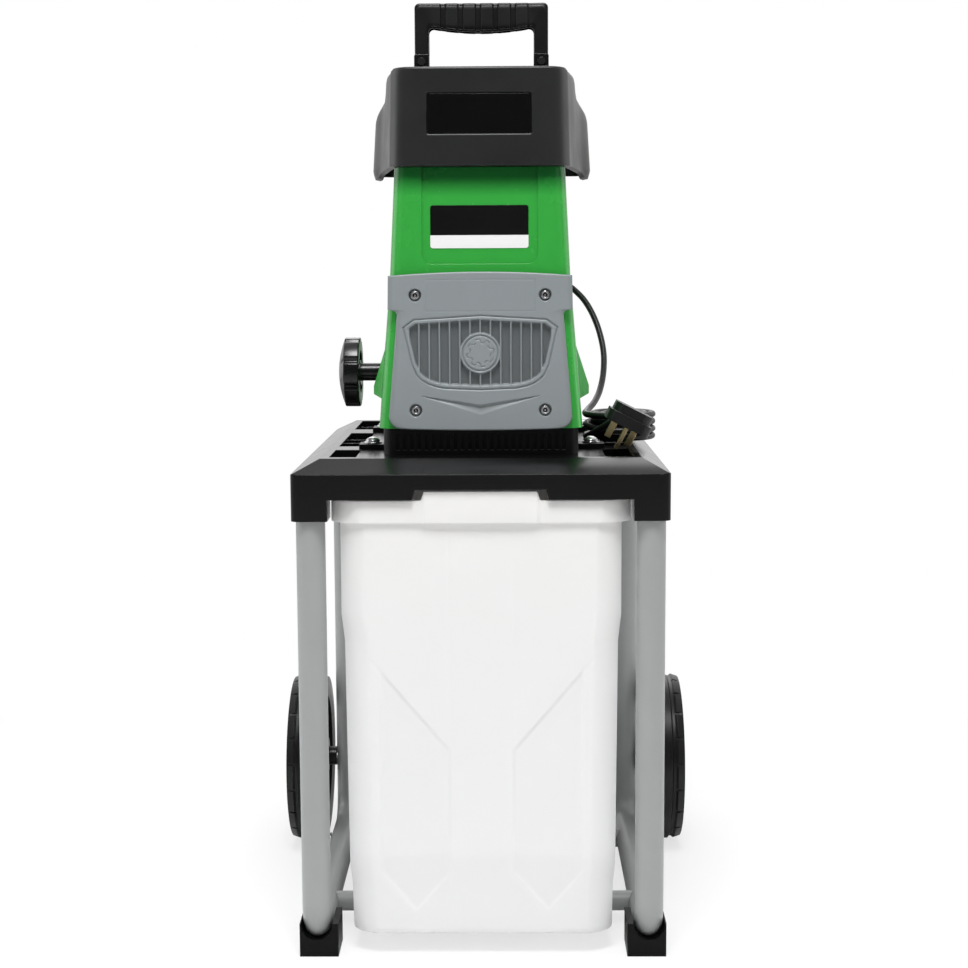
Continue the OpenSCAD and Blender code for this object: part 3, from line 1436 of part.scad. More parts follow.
// Tapered gland where the cord leaves the switch box
module cable_gland() {
    x0 = switch_w / 2 - switch_wall - 2;
    color(plastic_black) translate([x0, gland_y, gland_z]) rotate([0, 90, 0]) difference() {
        rotate_extrude() polygon([
            [0, 0], [gland_r, 0], [gland_r, 2 - fit_gap], [gland_r - 2, 2 - fit_gap],
            [gland_r - 2, switch_wall + 2], [gland_r + 1, switch_wall + 2 + fit_gap],
            [gland_r + 1, switch_wall + 6],
            [cord_r + 1.6, gland_end_x - x0], [0, gland_end_x - x0]
        ]);
        for (i = [0 : 3])
            translate([0, 0, switch_wall + 11 + 4.5 * i]) difference() {
                cylinder(r = gland_r + 2, h = 1.8);
                translate([0, 0, -eps]) cylinder(r = cord_r + 1.2, h = 4);
            }
    }
}

// Centre line of the coil: spirals in and out by turns, and drops a layer where it reverses
function coil_turn(s) =
    let (layer = floor(s / coil_loops + 0.00001))
    let (along = s - layer * coil_loops)
    let (inward = layer % 2 == 0 ? along : coil_loops - along)
    let (r = coil_r - loop_step * inward)
    let (drop = [for (k = [1 : coil_layers - 1]) smooth((s - k * coil_loops) * 2 + 0.5)])
    let (z = coil_in[2] - layer_step * sum(drop))
    [coil_x - r * cos(360 * s), coil_y - r * sin(360 * s), z];
function smooth(t) = t <= 0 ? 0 : t >= 1 ? 1 : t * t * (3 - 2 * t);
function sum(list) = [for (v = list) 1] * list;

// Least distance between the coil's surface and itself, more than half a loop apart along the cord
function least_gap(p) = min([for (i = [0 : len(p) - 1], j = [i + rings_per_loop / 2 : 1 : len(p) - 1])
    norm(p[i] - p[j])]) - cord_d;
echo(coil_gap = least_gap(coil_points));
function route_length(p) = sum([for (i = [1 : len(p) - 1]) norm(p[i] - p[i - 1])]);
echo(lead = route_length(lead_points), coil = route_length(coil_points), tail = route_length(tail_points));

// A tube of the cord's diameter along points: rings carried along with no twist
function unit(v) = v / norm(v);
function across(n, t) = unit(n - (n * t) * t);
module cord_tube(p, sides, up) {
    last = len(p) - 1;
    t = [for (i = [0 : last]) unit(p[min(i + 1, last)] - p[max(i - 1, 0)])];
    n = [for (i = 0, v = across(up, t[0]); i <= last; i = i + 1, v = across(v, t[min(i, last)])) v];
    rings = [for (i = [0 : last], j = [0 : sides - 1])
        p[i] + cord_r * (cos(360 * j / sides) * n[i] + sin(360 * j / sides) * cross(t[i], n[i]))];
    walls = [for (i = [0 : last - 1], j = [0 : sides - 1])
        let (a = i * sides + j)
        let (b = i * sides + (j + 1) % sides)
        each [[a, a + sides, b], [b, a + sides, b + sides]]];
    front = [for (j = [1 : sides - 2]) [0, j, j + 1]];
    back = [for (j = [1 : sides - 2]) [last * sides, last * sides + j + 1, last * sides + j]];
    polyhedron(rings, concat(walls, front, back));
}
module cord_lead() { color(plastic_black) cord_tube(lead_points, 10, [0, 0, 1]); }
module cord_coil() { color(plastic_black) cord_tube(coil_points, 6, [0, 0, 1]); }
module cord_tail() { color(plastic_black) cord_tube(tail_points, 10, [0, 0, 1]); }

// The plug leans on its pins in front of the coil, its cord side towards the back
module at_plug() {
    translate(plug_at) rotate([0, plug_lean, 0]) children();
}
module mains_plug() {
    color(plastic_black) at_plug() difference() {
        union() {
            translate([0, 0, -plug_t / 2]) linear_extrude(plug_base_t) rounded_rect(plug_w, plug_d, 9);
            translate([0, 0, -plug_t / 2]) linear_extrude(plug_t) rounded_rect(plug_w - 6, plug_d - 6, 10);
            bar_y(6, plug_d / 2 - 4, plug_d / 2 + plug_neck, 0, 0);
        }
        for (x = [-1, 1], i = [0 : 3])
            translate([x * plug_w / 2 - 1, -12 + 7 * i, -2]) cube([2, 3, plug_t]);
    }
}

// Flat pins: a long one in front and two short ones behind
module plug_pins() {
    color([0.78, 0.68, 0.4]) at_plug() {
        translate([-pin_t / 2, -pin_y - pin_w / 2 - eps, -plug_t / 2 - earth_len])
            cube([pin_t, earth_w, earth_len]);
        for (x = [-1, 1])
            translate([x * pin_x - pin_w / 2, pin_y - pin_t / 2, -plug_t / 2 - pin_len])
                cube([pin_w, pin_t, pin_len]);
    }
}

platform();
left_side_frame();
right_side_frame();
front_cross_bar();
rear_cross_bar();
left_foot();
right_foot();
leg_screws();
bar_bolts();
left_wheel();
right_wheel();
left_hub_cap();
right_hub_cap();
axle_bolts();
axle_spacers();
axle_nuts();
collection_box();
base_skirt();
platform_bolts();
front_housing();
rear_housing();
grille_panel();
panel_screws();
hopper();
feed_chute();
carry_handle();
handle_screws();
adjusting_knob();
adjusting_screw();
adjuster_bush();
counter_plate();
cutting_chamber();
cutter_drum();
drum_shaft();
drum_bearings();
output_gear();
gear_case();
gear_case_cover();
layshaft();
lay_gear();
rotor_core();
rotor_shaft();
rotor_bearings();
stator_core();
stator_windings();
motor_end_cap();
motor_bolts();
motor_fan();
capacitor();
switch_box();
on_button();
off_button();
direction_selector();
reset_button();
cable_gland();
cord_lead();
cord_coil();
cord_tail();
mains_plug();
plug_pins();
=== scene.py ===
"""Looks of an electric garden shredder on a wheeled stand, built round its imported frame.

Shapes are worked out in millimetres, in the frame's own axes: +X right, +Y to the back, +Z up.
"""

import json
import math

import bmesh
import bpy
import numpy as np
from mathutils import Matrix, Vector


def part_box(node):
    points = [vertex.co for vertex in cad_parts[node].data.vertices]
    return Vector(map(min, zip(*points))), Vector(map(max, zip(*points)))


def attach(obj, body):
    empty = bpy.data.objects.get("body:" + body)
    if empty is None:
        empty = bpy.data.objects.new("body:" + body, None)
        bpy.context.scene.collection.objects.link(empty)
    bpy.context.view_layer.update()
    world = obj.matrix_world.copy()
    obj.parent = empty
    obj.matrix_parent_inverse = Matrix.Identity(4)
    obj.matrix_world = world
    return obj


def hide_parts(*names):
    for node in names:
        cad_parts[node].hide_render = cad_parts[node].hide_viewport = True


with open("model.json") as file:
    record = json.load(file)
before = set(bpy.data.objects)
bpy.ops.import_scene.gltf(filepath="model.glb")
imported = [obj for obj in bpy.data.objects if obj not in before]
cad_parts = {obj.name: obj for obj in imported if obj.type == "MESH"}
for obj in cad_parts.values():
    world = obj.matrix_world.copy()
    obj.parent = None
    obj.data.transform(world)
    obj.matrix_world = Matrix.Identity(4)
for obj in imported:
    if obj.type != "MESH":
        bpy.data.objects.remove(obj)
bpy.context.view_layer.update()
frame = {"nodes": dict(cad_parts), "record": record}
scene = bpy.context.scene
MM = 0.001
IMAGE_PX = 968
SAME_POINT_M, SAME_CAD_POINT_M, FLAT_DEG = 1e-6, 2e-5, 0.6


def span(*nodes):
    """Lowest and highest corner of the nodes together, in millimetres."""
    corners = np.array([[list(c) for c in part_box(n)] for n in nodes]) / MM
    return corners[:, 0].min(0), corners[:, 1].max(0)


# Camera

FOCAL_PX = 1772.87
SENSOR_MM = 36.0
CAMERA_AT = (0.0234, -1.8982, 0.6679)
CAMERA_YAW, CAMERA_PITCH, CAMERA_ROLL = 0.012, 0.117, -0.005
PRINCIPAL_ROW_PX = 476.6


def photo_camera():
    """A camera that looks along +Y, turned by yaw, tipped down by pitch and rolled about its own axis."""
    data = bpy.data.cameras.new("photo_camera")
    data.sensor_width = SENSOR_MM
    data.lens = FOCAL_PX * SENSOR_MM / IMAGE_PX
    data.shift_y = (PRINCIPAL_ROW_PX - IMAGE_PX / 2) / IMAGE_PX
    data.clip_start, data.clip_end = 0.05, 50.0
    camera = bpy.data.objects.new("photo_camera", data)
    scene.collection.objects.link(camera)
    turn = (
        Matrix.Rotation(CAMERA_YAW, 4, "Z")
        @ Matrix.Rotation(math.pi / 2 - CAMERA_PITCH, 4, "X")
        @ Matrix.Rotation(CAMERA_ROLL, 4, "Z")
    )
    camera.matrix_world = Matrix.Translation(CAMERA_AT) @ turn
    scene.camera = camera


photo_camera()


# Meshes from grids


def grid_quads(rows, cols, wrap_rows=False, wrap_cols=False):
    """Corner numbers of the quads of a grid of points, joined round where a direction wraps."""
    row, col = np.meshgrid(
        np.arange(rows if wrap_rows else rows - 1),
        np.arange(cols if wrap_cols else cols - 1),
        indexing="ij",
    )
    down, right = (row + 1) % rows, (col + 1) % cols
    quads = np.stack([row * cols + col, row * cols + right, down * cols + right, down * cols + col], -1)
    return quads.reshape(-1, 4)


def shade(mesh, sharp):
    """Smooth shading with creases where faces meet at more than sharp degrees."""
    mesh.shade_smooth()
    mesh.set_sharp_from_angle(angle=math.radians(sharp))


def piece_from(name, points, quads, sharp=32, fill=False):
    """A piece from points (n, 3) in millimetres and quads (m, 4): doubles merged, faces outwards."""
    mesh = bpy.data.meshes.new(name)
    mesh.vertices.add(len(points))
    mesh.vertices.foreach_set("co", (np.asarray(points) * MM).astype(np.float32).ravel())
    mesh.loops.add(quads.size)
    mesh.loops.foreach_set("vertex_index", quads.astype(np.int32).ravel())
    mesh.polygons.add(len(quads))
    mesh.polygons.foreach_set("loop_start", np.arange(0, quads.size, 4, dtype=np.int32))
    mesh.update(calc_edges=True)
    form = bmesh.new()
    form.from_mesh(mesh)
    bmesh.ops.remove_doubles(form, verts=form.verts, dist=SAME_POINT_M)
    if fill:
        bmesh.ops.holes_fill(form, edges=form.edges, sides=0)
    bmesh.ops.recalc_face_normals(form, faces=form.faces)
    form.to_mesh(mesh)
    form.free()
    mesh.validate()
    shade(mesh, sharp)
    piece = bpy.data.objects.new(name, mesh)
    scene.collection.objects.link(piece)
    return piece


def grid_of(x, y, z):
    """Points of a grid from their X, Y and Z, each of which may be the same along its rows or columns."""
    return np.stack(np.broadcast_arrays(x, y, z), -1)


def skin(name, grid, wrap_rows=False, wrap_cols=False, sharp=32, fill=False):
    """A piece from a grid of points (rows, cols, 3)."""
    rows, cols = grid.shape[:2]
    return piece_from(name, grid.reshape(-1, 3), grid_quads(rows, cols, wrap_rows, wrap_cols), sharp, fill)


def softened(node, name, width, steps=2, angle=30, sharp=32):
    """A rounded copy of a CAD node.

    Its triangles are merged, its flat faces joined, and edges that turn by more than angle degrees rounded
    over a width in millimetres.
    """
    form = bmesh.new()
    form.from_mesh(frame["nodes"][node].data)
    bmesh.ops.remove_doubles(form, verts=form.verts, dist=SAME_CAD_POINT_M)
    bmesh.ops.dissolve_limit(form, angle_limit=math.radians(FLAT_DEG), verts=form.verts, edges=form.edges)
    edges = [e for e in form.edges if e.is_manifold and e.calc_face_angle(0) > math.radians(angle)]
    bmesh.ops.bevel(
        form, geom=edges, offset=width * MM, segments=steps, profile=0.5, affect="EDGES", clamp_overlap=True
    )
    mesh = bpy.data.meshes.new(name)
    form.to_mesh(mesh)
    form.free()
    shade(mesh, sharp)
    piece = bpy.data.objects.new(name, mesh)
    scene.collection.objects.link(piece)
    level = piece.modifiers.new("even_normals", "WEIGHTED_NORMAL")
    level.keep_sharp = True
    return piece


def keep_painted_shade(piece, painted_shade_at):
    """Keeps on the mesh how dark each point is painted, 0 to 1, as a function of its place in millimetres:
    painted shade.
    """
    points = np.empty(3 * len(piece.data.vertices), np.float32)
    piece.data.vertices.foreach_get("co", points)
    painted_shade = np.clip(painted_shade_at(*points.reshape(-1, 3).T / MM), 0, 1)
    piece.data.attributes.new("painted_shade", "FLOAT", "POINT").data.foreach_set("value", painted_shade.astype(np.float32))


def smooth_step(t):
    """0 below 0, 1 above 1, and the curve 3t^2 - 2t^3 between."""
    t = np.clip(t, 0, 1)
    return t * t * (3 - 2 * t)


def eased(value, start, length):
    """0 up to start and 1 past the length that follows, with a smooth step between."""
    return smooth_step((value - start) / length)


def sloped(value, start, length):
    """0 up to start and 1 past the length that follows, with a straight line between."""
    return np.clip((value - start) / length, 0, 1)


def ridge(distance, width, soft):
    """1 within half the width of a line, falling smoothly to 0 over soft."""
    return smooth_step((width / 2 + soft / 2 - np.abs(distance)) / soft)


def stations(front, side, back, corner):
    """Places round a rounded rectangle, from its front left corner anticlockwise seen from above.

    Each has its share along the flat sides, -1 to 1 in X and Y, and the direction of its corner's round.
    """
    spread = lambda a, b, n: np.linspace(a, b, n, endpoint=False)
    sides = [
        (spread(-1, 1, front), -1, -90), (1, -1, spread(-90, 0, corner)),
        (1, spread(-1, 1, side), 0), (1, 1, spread(0, 90, corner)),
        (spread(1, -1, back), 1, 90), (-1, 1, spread(90, 180, corner)),
        (-1, spread(1, -1, side), 180), (-1, -1, spread(180, 270, corner)),
    ]
    parts = [np.broadcast_arrays(*[np.atleast_1d(np.asarray(v, float)) for v in s]) for s in sides]
    return tuple(np.concatenate([p[i] for p in parts]) for i in range(3))


def plan(places, half, y0, y1, front_r, back_r, facet=0.0, deep=1.0):
    """X and Y round a rounded rectangle at each station, for rows or grids of half widths, ends and radii.

    facet is the share by which a corner's arc is drawn to its chord, and deep is a corner's reach in Y over
    its reach in X.
    """
    across, along, direction = places
    half, y0, y1, front_r, back_r = (
        v if np.ndim(v) == 2 else np.atleast_1d(v)[:, None] for v in (half, y0, y1, front_r, back_r))
    r = np.where(along < 0, front_r, back_r)
    share = (along + 1) / 2
    unit = lambda degrees: np.exp(1j * np.radians(degrees))
    start = 90 * np.floor(direction / 90)
    t = (direction - start) / 90
    corner = (1 - facet) * unit(direction) + facet * ((1 - t) * unit(start) + t * unit(start + 90))
    x = across * (half - r) + r * corner.real
    y = (y0 + deep * front_r) * (1 - share) + (y1 - deep * back_r) * share + deep * r * corner.imag
    return x, y


def polygon_depth(x, z, corners):
    """Distance of each point inside a polygon from its outline, negative outside."""
    ends = np.roll(corners, -1, axis=0)
    best = np.full(np.shape(x), np.inf)
    inside = np.zeros(np.shape(x), bool)
    for (ax, az), (bx, bz) in zip(corners, ends):
        ux, uz = bx - ax, bz - az
        t = np.clip(((x - ax) * ux + (z - az) * uz) / (ux * ux + uz * uz), 0, 1)
        best = np.minimum(best, np.hypot(x - ax - t * ux, z - az - t * uz))
        if uz:
            inside ^= ((az > z) != (bz > z)) & (x < ax + (z - az) * ux / uz)
    return np.where(inside, best, -best)


# Mains cord

CORD_D = 6.8
COIL_AT = (146.0, -26.0)
COIL_R, LOOP_STEP, LAYER_STEP = 37.0, 7.8, 7.6
COIL_LOOPS, COIL_LAYERS, DROP_TURNS = 2, 4, 0.5
COIL_TOP = 514.5
CORD_EXIT = (75, 136, 652)
LEAD_POINTS = [
    CORD_EXIT, (84, 136, 652), (95, 135.5, 648.5), (105, 134, 641), (115, 130, 630), (124, 123, 614),
    (131, 112, 594), (134.5, 96, 572), (133, 76, 551), (128, 53, 534), (121, 30, 523), (113, 8, 516.5),
    (109.5, -8, 514.7), (109, -12.4, 514.5), (109, -19.2, 514.5),
]
TAIL_POINTS = [
    (109, -32.8, 491.7), (109, -39.6, 491.7), (110.5, -50, 493.5), (116, -62, 498), (124, -71.5, 504),
    (134, -79, 511), (143, -87, 516.8), (147.5, -96, 519), (148, -101, 519.4), (148, -106, 519.4),
]


def coil_line(per_loop=48):
    """Centre line of the coil: turns that spiral in and out by layers and drop where they reverse."""
    turn = np.linspace(0, COIL_LOOPS * COIL_LAYERS, COIL_LOOPS * COIL_LAYERS * per_loop + 1)
    layer = np.minimum(np.floor(turn / COIL_LOOPS + 1e-9), COIL_LAYERS - 1)
    along = turn - layer * COIL_LOOPS
    r = COIL_R - LOOP_STEP * np.where(layer % 2 == 0, along, COIL_LOOPS - along)
    seams = COIL_LOOPS * np.arange(1, COIL_LAYERS)
    drop = smooth_step((turn[:, None] - seams) / DROP_TURNS + 0.5).sum(1)
    angle = 2 * np.pi * turn
    x, y = COIL_AT[0] - r * np.cos(angle), COIL_AT[1] - r * np.sin(angle)
    return np.stack([x, y, COIL_TOP - LAYER_STEP * drop], 1)


def smooth_line(points, steps=6):
    """A curve through points: on each stretch the cubic whose end slopes run between the neighbours."""
    p = np.asarray(points, float)
    p = np.concatenate([[2 * p[0] - p[1]], p, [2 * p[-1] - p[-2]]])
    a, b, c, d = p[:-3, None], p[1:-2, None], p[2:-1, None], p[3:, None]
    t = np.linspace(0, 1, steps, endpoint=False)[None, :, None]
    curve = b + t / 2 * (c - a + t * (2 * a - 5 * b + 4 * c - d + t * (3 * (b - c) + d - a)))
    return np.concatenate([curve.reshape(-1, 3), p[-2:-1]])


def tube(name, line, radius, sides=16):
    """A round tube along a line: circles square to it, carried on the side and upward directions."""
    ahead = np.gradient(line, axis=0)
    ahead /= np.linalg.norm(ahead, axis=1, keepdims=True)
    side = np.cross(ahead, [0, 0, 1.0])
    side /= np.linalg.norm(side, axis=1, keepdims=True)
    above = np.cross(side, ahead)
    angle = np.linspace(0, 2 * np.pi, sides, endpoint=False)[None, :, None]
    rings = line[:, None] + radius * (np.cos(angle) * side[:, None] + np.sin(angle) * above[:, None])
    return skin(name, rings, wrap_cols=True, fill=True)


def mains_cord():
    """The cord as one tube along its lead, its coil and its tail, and that line."""
    line = np.concatenate([smooth_line(LEAD_POINTS), coil_line(), smooth_line(TAIL_POINTS)])
    cord = tube("mains_cord", line, CORD_D / 2)
    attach(cord, "chassis")
    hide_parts("cord_lead", "cord_coil", "cord_tail")
    return cord, line


cord, cord_line = mains_cord()


# Shader groups


def put(tree, kind, inputs=None, **settings):
    """A shader node with its settings, its input values and, where an input is a socket, a link to it."""
    made = tree.nodes.new(kind)
    for key, value in settings.items():
        setattr(made, key, value)
    for key, value in (inputs or {}).items():
        if isinstance(value, bpy.types.NodeSocket):
            tree.links.new(value, made.inputs[key])
        else:
            made.inputs[key].default_value = value
    return made


def shader_group(name, inputs, outputs):
    """An empty node group with named float or vector sockets, and its input and output nodes."""
    group = bpy.data.node_groups.new(name, "ShaderNodeTree")
    for label, value in inputs.items():
        group.interface.new_socket(label, in_out="INPUT", socket_type="NodeSocketFloat").default_value = value
    for label, kind in outputs.items():
        group.interface.new_socket(label, in_out="OUTPUT", socket_type=kind)
    return group, group.nodes.new("NodeGroupInput"), group.nodes.new("NodeGroupOutput")


def grain_group():
    """Moulded grain: fine cells as a height, and slow cloudy mottle for colour and gloss."""
    group, given, out = shader_group(
        "moulded_grain",
        {"Grain Scale": 1400.0, "Mottle Scale": 24.0},
        {"Height": "NodeSocketFloat", "Mottle": "NodeSocketFloat"},
    )
    place = put(group, "ShaderNodeTexCoord").outputs["Object"]
    cells = put(group, "ShaderNodeTexNoise", {
        "Vector": place, "Scale": given.outputs["Grain Scale"], "Detail": 2.0, "Roughness": 0.6})
    cloud = put(group, "ShaderNodeTexNoise", {
        "Vector": place, "Scale": given.outputs["Mottle Scale"], "Detail": 4.0, "Roughness": 0.55})
    group.links.new(cells.outputs["Fac"], out.inputs["Height"])
    group.links.new(cloud.outputs["Fac"], out.inputs["Mottle"])
    return group


def edge_group():
    """Rounded edges: a normal averaged over a small radius, and a mask of paler edges, partly wear and partly
    a painted highlight.

    The mask is how far that normal departs from the face's own, broken up by a cloudy pattern.
    """
    group, given, out = shader_group(
        "worn_and_highlit_edges", {"Radius": 0.0008}, {"Normal": "NodeSocketVector", "Wear And Highlight": "NodeSocketFloat"}
    )
    soft = put(group, "ShaderNodeBevel", {"Radius": given.outputs["Radius"]}, samples=6)
    face = put(group, "ShaderNodeNewGeometry").outputs["Normal"]
    match = put(group, "ShaderNodeVectorMath", {0: soft.outputs["Normal"], 1: face}, operation="DOT_PRODUCT")
    place = put(group, "ShaderNodeTexCoord").outputs["Object"]
    patch = put(group, "ShaderNodeTexNoise", {"Vector": place, "Scale": 160.0, "Detail": 5.0})
    lift = put(group, "ShaderNodeMath", {0: 1.0, 1: match.outputs["Value"]}, operation="SUBTRACT")
    rub = put(group, "ShaderNodeMath", {
        0: lift.outputs["Value"], 1: patch.outputs["Fac"]}, operation="MULTIPLY")
    gain = put(group, "ShaderNodeMath", {
        0: rub.outputs["Value"], 1: 3.0}, operation="MULTIPLY", use_clamp=True)
    group.links.new(soft.outputs["Normal"], out.inputs["Normal"])
    group.links.new(gain.outputs["Value"], out.inputs["Wear And Highlight"])
    return group


GRAIN, EDGES = grain_group(), edge_group()
EDGE_PALE = 0.6
BLACK = (0.0, 0.0, 0.0, 1.0)
MIX_SHARE, MIX_FIRST, MIX_SECOND, MIX_RESULT = 0, 6, 7, 2


def blend(tree, share, first, second):
    """The colour a share of the way from the first to the second."""
    mix = put(tree, "ShaderNodeMix", {
        MIX_SHARE: share, MIX_FIRST: first, MIX_SECOND: second}, data_type="RGBA")
    return mix.outputs[MIX_RESULT]


def finish_of(
    name, color, roughness, grain=(1400.0, 0.25, 0.00004), edge=0.0007, rub=0.12, mottle=0.10, fade=None,
    painted_shade=0.0, through=0.0, **shader
):
    """A surface finish: mottled colour and gloss, grain as a bump, and rounded edges that pale, partly as
    wear and partly as a painted highlight.

    grain is its scale per metre, strength and depth in metres; edge is the rounding in metres; rub
    is how far edges pale, partly as wear and partly as a painted highlight; mottle is the share by which
    colour and roughness wander; fade is two heights in metres and the colour that comes in from the first to
    the second;
    painted_shade is how far the painted shade kept on the mesh darkens the colour; through is the share of
    light that passes the wall, scattered. What is left goes to the shader's own sockets.
    """
    material = bpy.data.materials.new(name)
    material.use_nodes = True
    tree = material.node_tree
    principled = tree.nodes["Principled BSDF"]
    for key, value in shader.items():
        principled.inputs[key.replace("_", " ")].default_value = value
    grain_scale, grain_strength, grain_depth = grain
    field = put(tree, "ShaderNodeGroup", node_tree=GRAIN)
    field.inputs["Grain Scale"].default_value = grain_scale
    rounding = put(tree, "ShaderNodeGroup", node_tree=EDGES)
    rounding.inputs["Radius"].default_value = edge
    dark = [c * (1 - mottle) for c in color] + [1.0]
    pale = [c * (1 + mottle) for c in color] + [1.0]
    # Paler edges: partly wear, partly a painted highlight.
    worn_and_highlit = [c + rub * EDGE_PALE * (1 - c) for c in color] + [1.0]
    surface = blend(tree, field.outputs["Mottle"], dark, pale)
    surface = blend(tree, rounding.outputs["Wear And Highlight"], surface, worn_and_highlit)
    gloss = put(tree, "ShaderNodeMapRange", {
        "Value": field.outputs["Mottle"], "From Min": 0.3, "From Max": 0.7,
        "To Min": roughness * (1 - mottle), "To Max": roughness * (1 + mottle)})
    bump = put(tree, "ShaderNodeBump", {
        "Height": field.outputs["Height"], "Strength": grain_strength, "Distance": grain_depth,
        "Normal": rounding.outputs["Normal"]})
    if fade:
        start, end, fade_color = fade
        place = put(tree, "ShaderNodeTexCoord").outputs["Object"]
        height = put(tree, "ShaderNodeSeparateXYZ", {0: place}).outputs["Z"]
        faded = put(tree, "ShaderNodeMapRange", {"Value": height, "From Min": start, "From Max": end})
        surface = blend(tree, faded.outputs["Result"], surface, (*fade_color, 1.0))
    # Painted shade: the darkness kept on the mesh darkens the colour.
    if painted_shade:
        kept = put(tree, "ShaderNodeAttribute", attribute_name="painted_shade").outputs["Fac"]
        share = put(tree, "ShaderNodeMath", {0: kept, 1: painted_shade}, operation="MULTIPLY")
        surface = blend(tree, share.outputs["Value"], surface, BLACK)
    tree.links.new(surface, principled.inputs["Base Color"])
    tree.links.new(gloss.outputs["Result"], principled.inputs["Roughness"])
    tree.links.new(bump.outputs["Normal"], principled.inputs["Normal"])
    if through:
        passed = put(tree, "ShaderNodeBsdfTranslucent", {"Color": (*color, 1.0)})
        mixed = put(tree, "ShaderNodeMixShader", {0: through, 1: principled.outputs[0], 2: passed.outputs[0]})
        tree.links.new(mixed.outputs[0], tree.nodes["Material Output"].inputs["Surface"])
    return material


GREEN_MOULDED = dict(
    color=(0.032, 0.325, 0.045), roughness=0.27, grain=(700.0, 0.12, 0.00003), rub=0.01, mottle=0.04,
    Specular_IOR_Level=0.3)
FINISHES = {
    "black_plastic": finish_of(
        "black_plastic", (0.0045, 0.0046, 0.0048), 0.28, rub=0.05, Specular_IOR_Level=0.4),
    "wheel_plastic": finish_of(
        "wheel_plastic", (0.005, 0.0053, 0.006), 0.38, rub=0.04, Specular_IOR_Level=0.28),
    "tube_paint": finish_of(
        "tube_paint", (0.335, 0.347, 0.343), 0.34, grain=(500.0, 0.12, 0.00003), rub=0.02, mottle=0.03),
    "steel": finish_of(
        "steel", (0.56, 0.56, 0.57), 0.3, grain=(3000.0, 0.1, 0.00002), rub=0.3, mottle=0.12, Metallic=1.0),
    # Painted light: the box is painted warmer towards its top and whiter towards its bottom, as light glows
    # through the wall.
    "box_plastic": finish_of(
        "box_plastic", (0.94, 0.933, 0.92), 0.42, grain=(900.0, 0.15, 0.00003), edge=0.0012, rub=0.05,
        mottle=0.015, fade=(0.48, 0.2, (0.94, 0.94, 0.945)), through=0.12,
        Subsurface_Weight=0.1, Subsurface_Scale=0.004, Subsurface_Radius=(1.0, 0.95, 0.9)),
    "green_plastic": finish_of("green_plastic", **GREEN_MOULDED),
    "grey_plastic": finish_of(
        "grey_plastic", (0.225, 0.25, 0.26), 0.44, grain=(1800.0, 0.3, 0.00003), rub=0.05, mottle=0.04),
    "cast_alloy": finish_of(
        "cast_alloy", (0.42, 0.43, 0.44), 0.45, grain=(900.0, 0.4, 0.00008), Metallic=0.9),
    "copper_wire": finish_of("copper_wire", (0.6, 0.26, 0.1), 0.35, Metallic=1.0),
    "white_plastic": finish_of("white_plastic", (0.8, 0.8, 0.78), 0.4),
    "on_green": finish_of("on_green", (0.03, 0.33, 0.06), 0.32),
    "off_red": finish_of("off_red", (0.5, 0.02, 0.02), 0.32),
    "cord_rubber": finish_of(
        "cord_rubber", (0.005, 0.005, 0.0055), 0.4, grain=(2200.0, 0.3, 0.00004), Specular_IOR_Level=0.4),
    "pin_brass": finish_of("pin_brass", (0.62, 0.5, 0.27), 0.28, Metallic=1.0),
}
HOPPER_BLACK = finish_of(
    "hopper_black", (0.011, 0.0113, 0.0117), 0.44, rub=0.06, Specular_IOR_Level=0.4)
PLATFORM_BLACK = finish_of(
    "platform_black", (0.0035, 0.0036, 0.0038), 0.2, rub=0.05, Specular_IOR_Level=0.27)
# A darker, duller copy of the black for the skirt and the feet, low down: its darker colour is painted shade.
SHADED_DULL_BLACK = finish_of("dull_black_painted_shade", (0.003, 0.003, 0.0031), 0.4, rub=0.03, Specular_IOR_Level=0.12)
DARK_STEEL = finish_of("dark_steel", (0.03, 0.03, 0.032), 0.35, Metallic=0.6)
SLOT_OF = {s["node"]: s["material_slot"] for s in frame["record"]["subparts"]}
BODY_OF = {n: b for b, members in frame["record"]["behaviour"]["bodies"].items() for n in members}


def dress(piece, finish):
    """Gives a piece one finish, in place of any that it has."""
    piece.data.materials.clear()
    piece.data.materials.append(finish)
    return piece


def stands_for(piece, node):
    """Puts a piece in place of its CAD node: same body, same slot, that slot's finish."""
    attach(piece, BODY_OF[node])
    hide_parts(node)
    return dress(piece, FINISHES[SLOT_OF[node]])


for name, node in frame["nodes"].items():
    dress(node, FINISHES[SLOT_OF[name]])
dress(cord, FINISHES["cord_rubber"])
dress(frame["nodes"]["handle_screws"], DARK_STEEL)


# Rounded copies of the moulded and formed pieces

ROUNDED = {
    "platform": 1.2, "base_skirt": 0.6, "left_foot": 1.0, "right_foot": 1.0,
    "front_housing": 1.5, "rear_housing": 1.2, "switch_box": 1.5, "mains_plug": 1.5, "feed_chute": 0.8,
}
HOUSING_LOW, HOUSING_HIGH = span("front_housing")
HOUSING_TOP = HOUSING_HIGH[2]
# Painted shade: the front housing's green is painted darker over its top 27 mm, where the hopper's overhang
# shades it.
OVERHANG_SHADE = ((HOUSING_TOP - 27) * MM, (HOUSING_TOP - 9) * MM, (0.006, 0.105, 0.017))
GREEN_FRONT_PAINTED_SHADE = finish_of("green_front_painted_shade", fade=OVERHANG_SHADE, **GREEN_MOULDED)
OWN_FINISH = {
    "platform": PLATFORM_BLACK, "front_housing": GREEN_FRONT_PAINTED_SHADE,
    "base_skirt": SHADED_DULL_BLACK, "left_foot": SHADED_DULL_BLACK, "right_foot": SHADED_DULL_BLACK,
}
for node, width in ROUNDED.items():
    piece = stands_for(softened(node, node + "_form", width), node)
    if node in OWN_FINISH:
        dress(piece, OWN_FINISH[node])


# Collection box

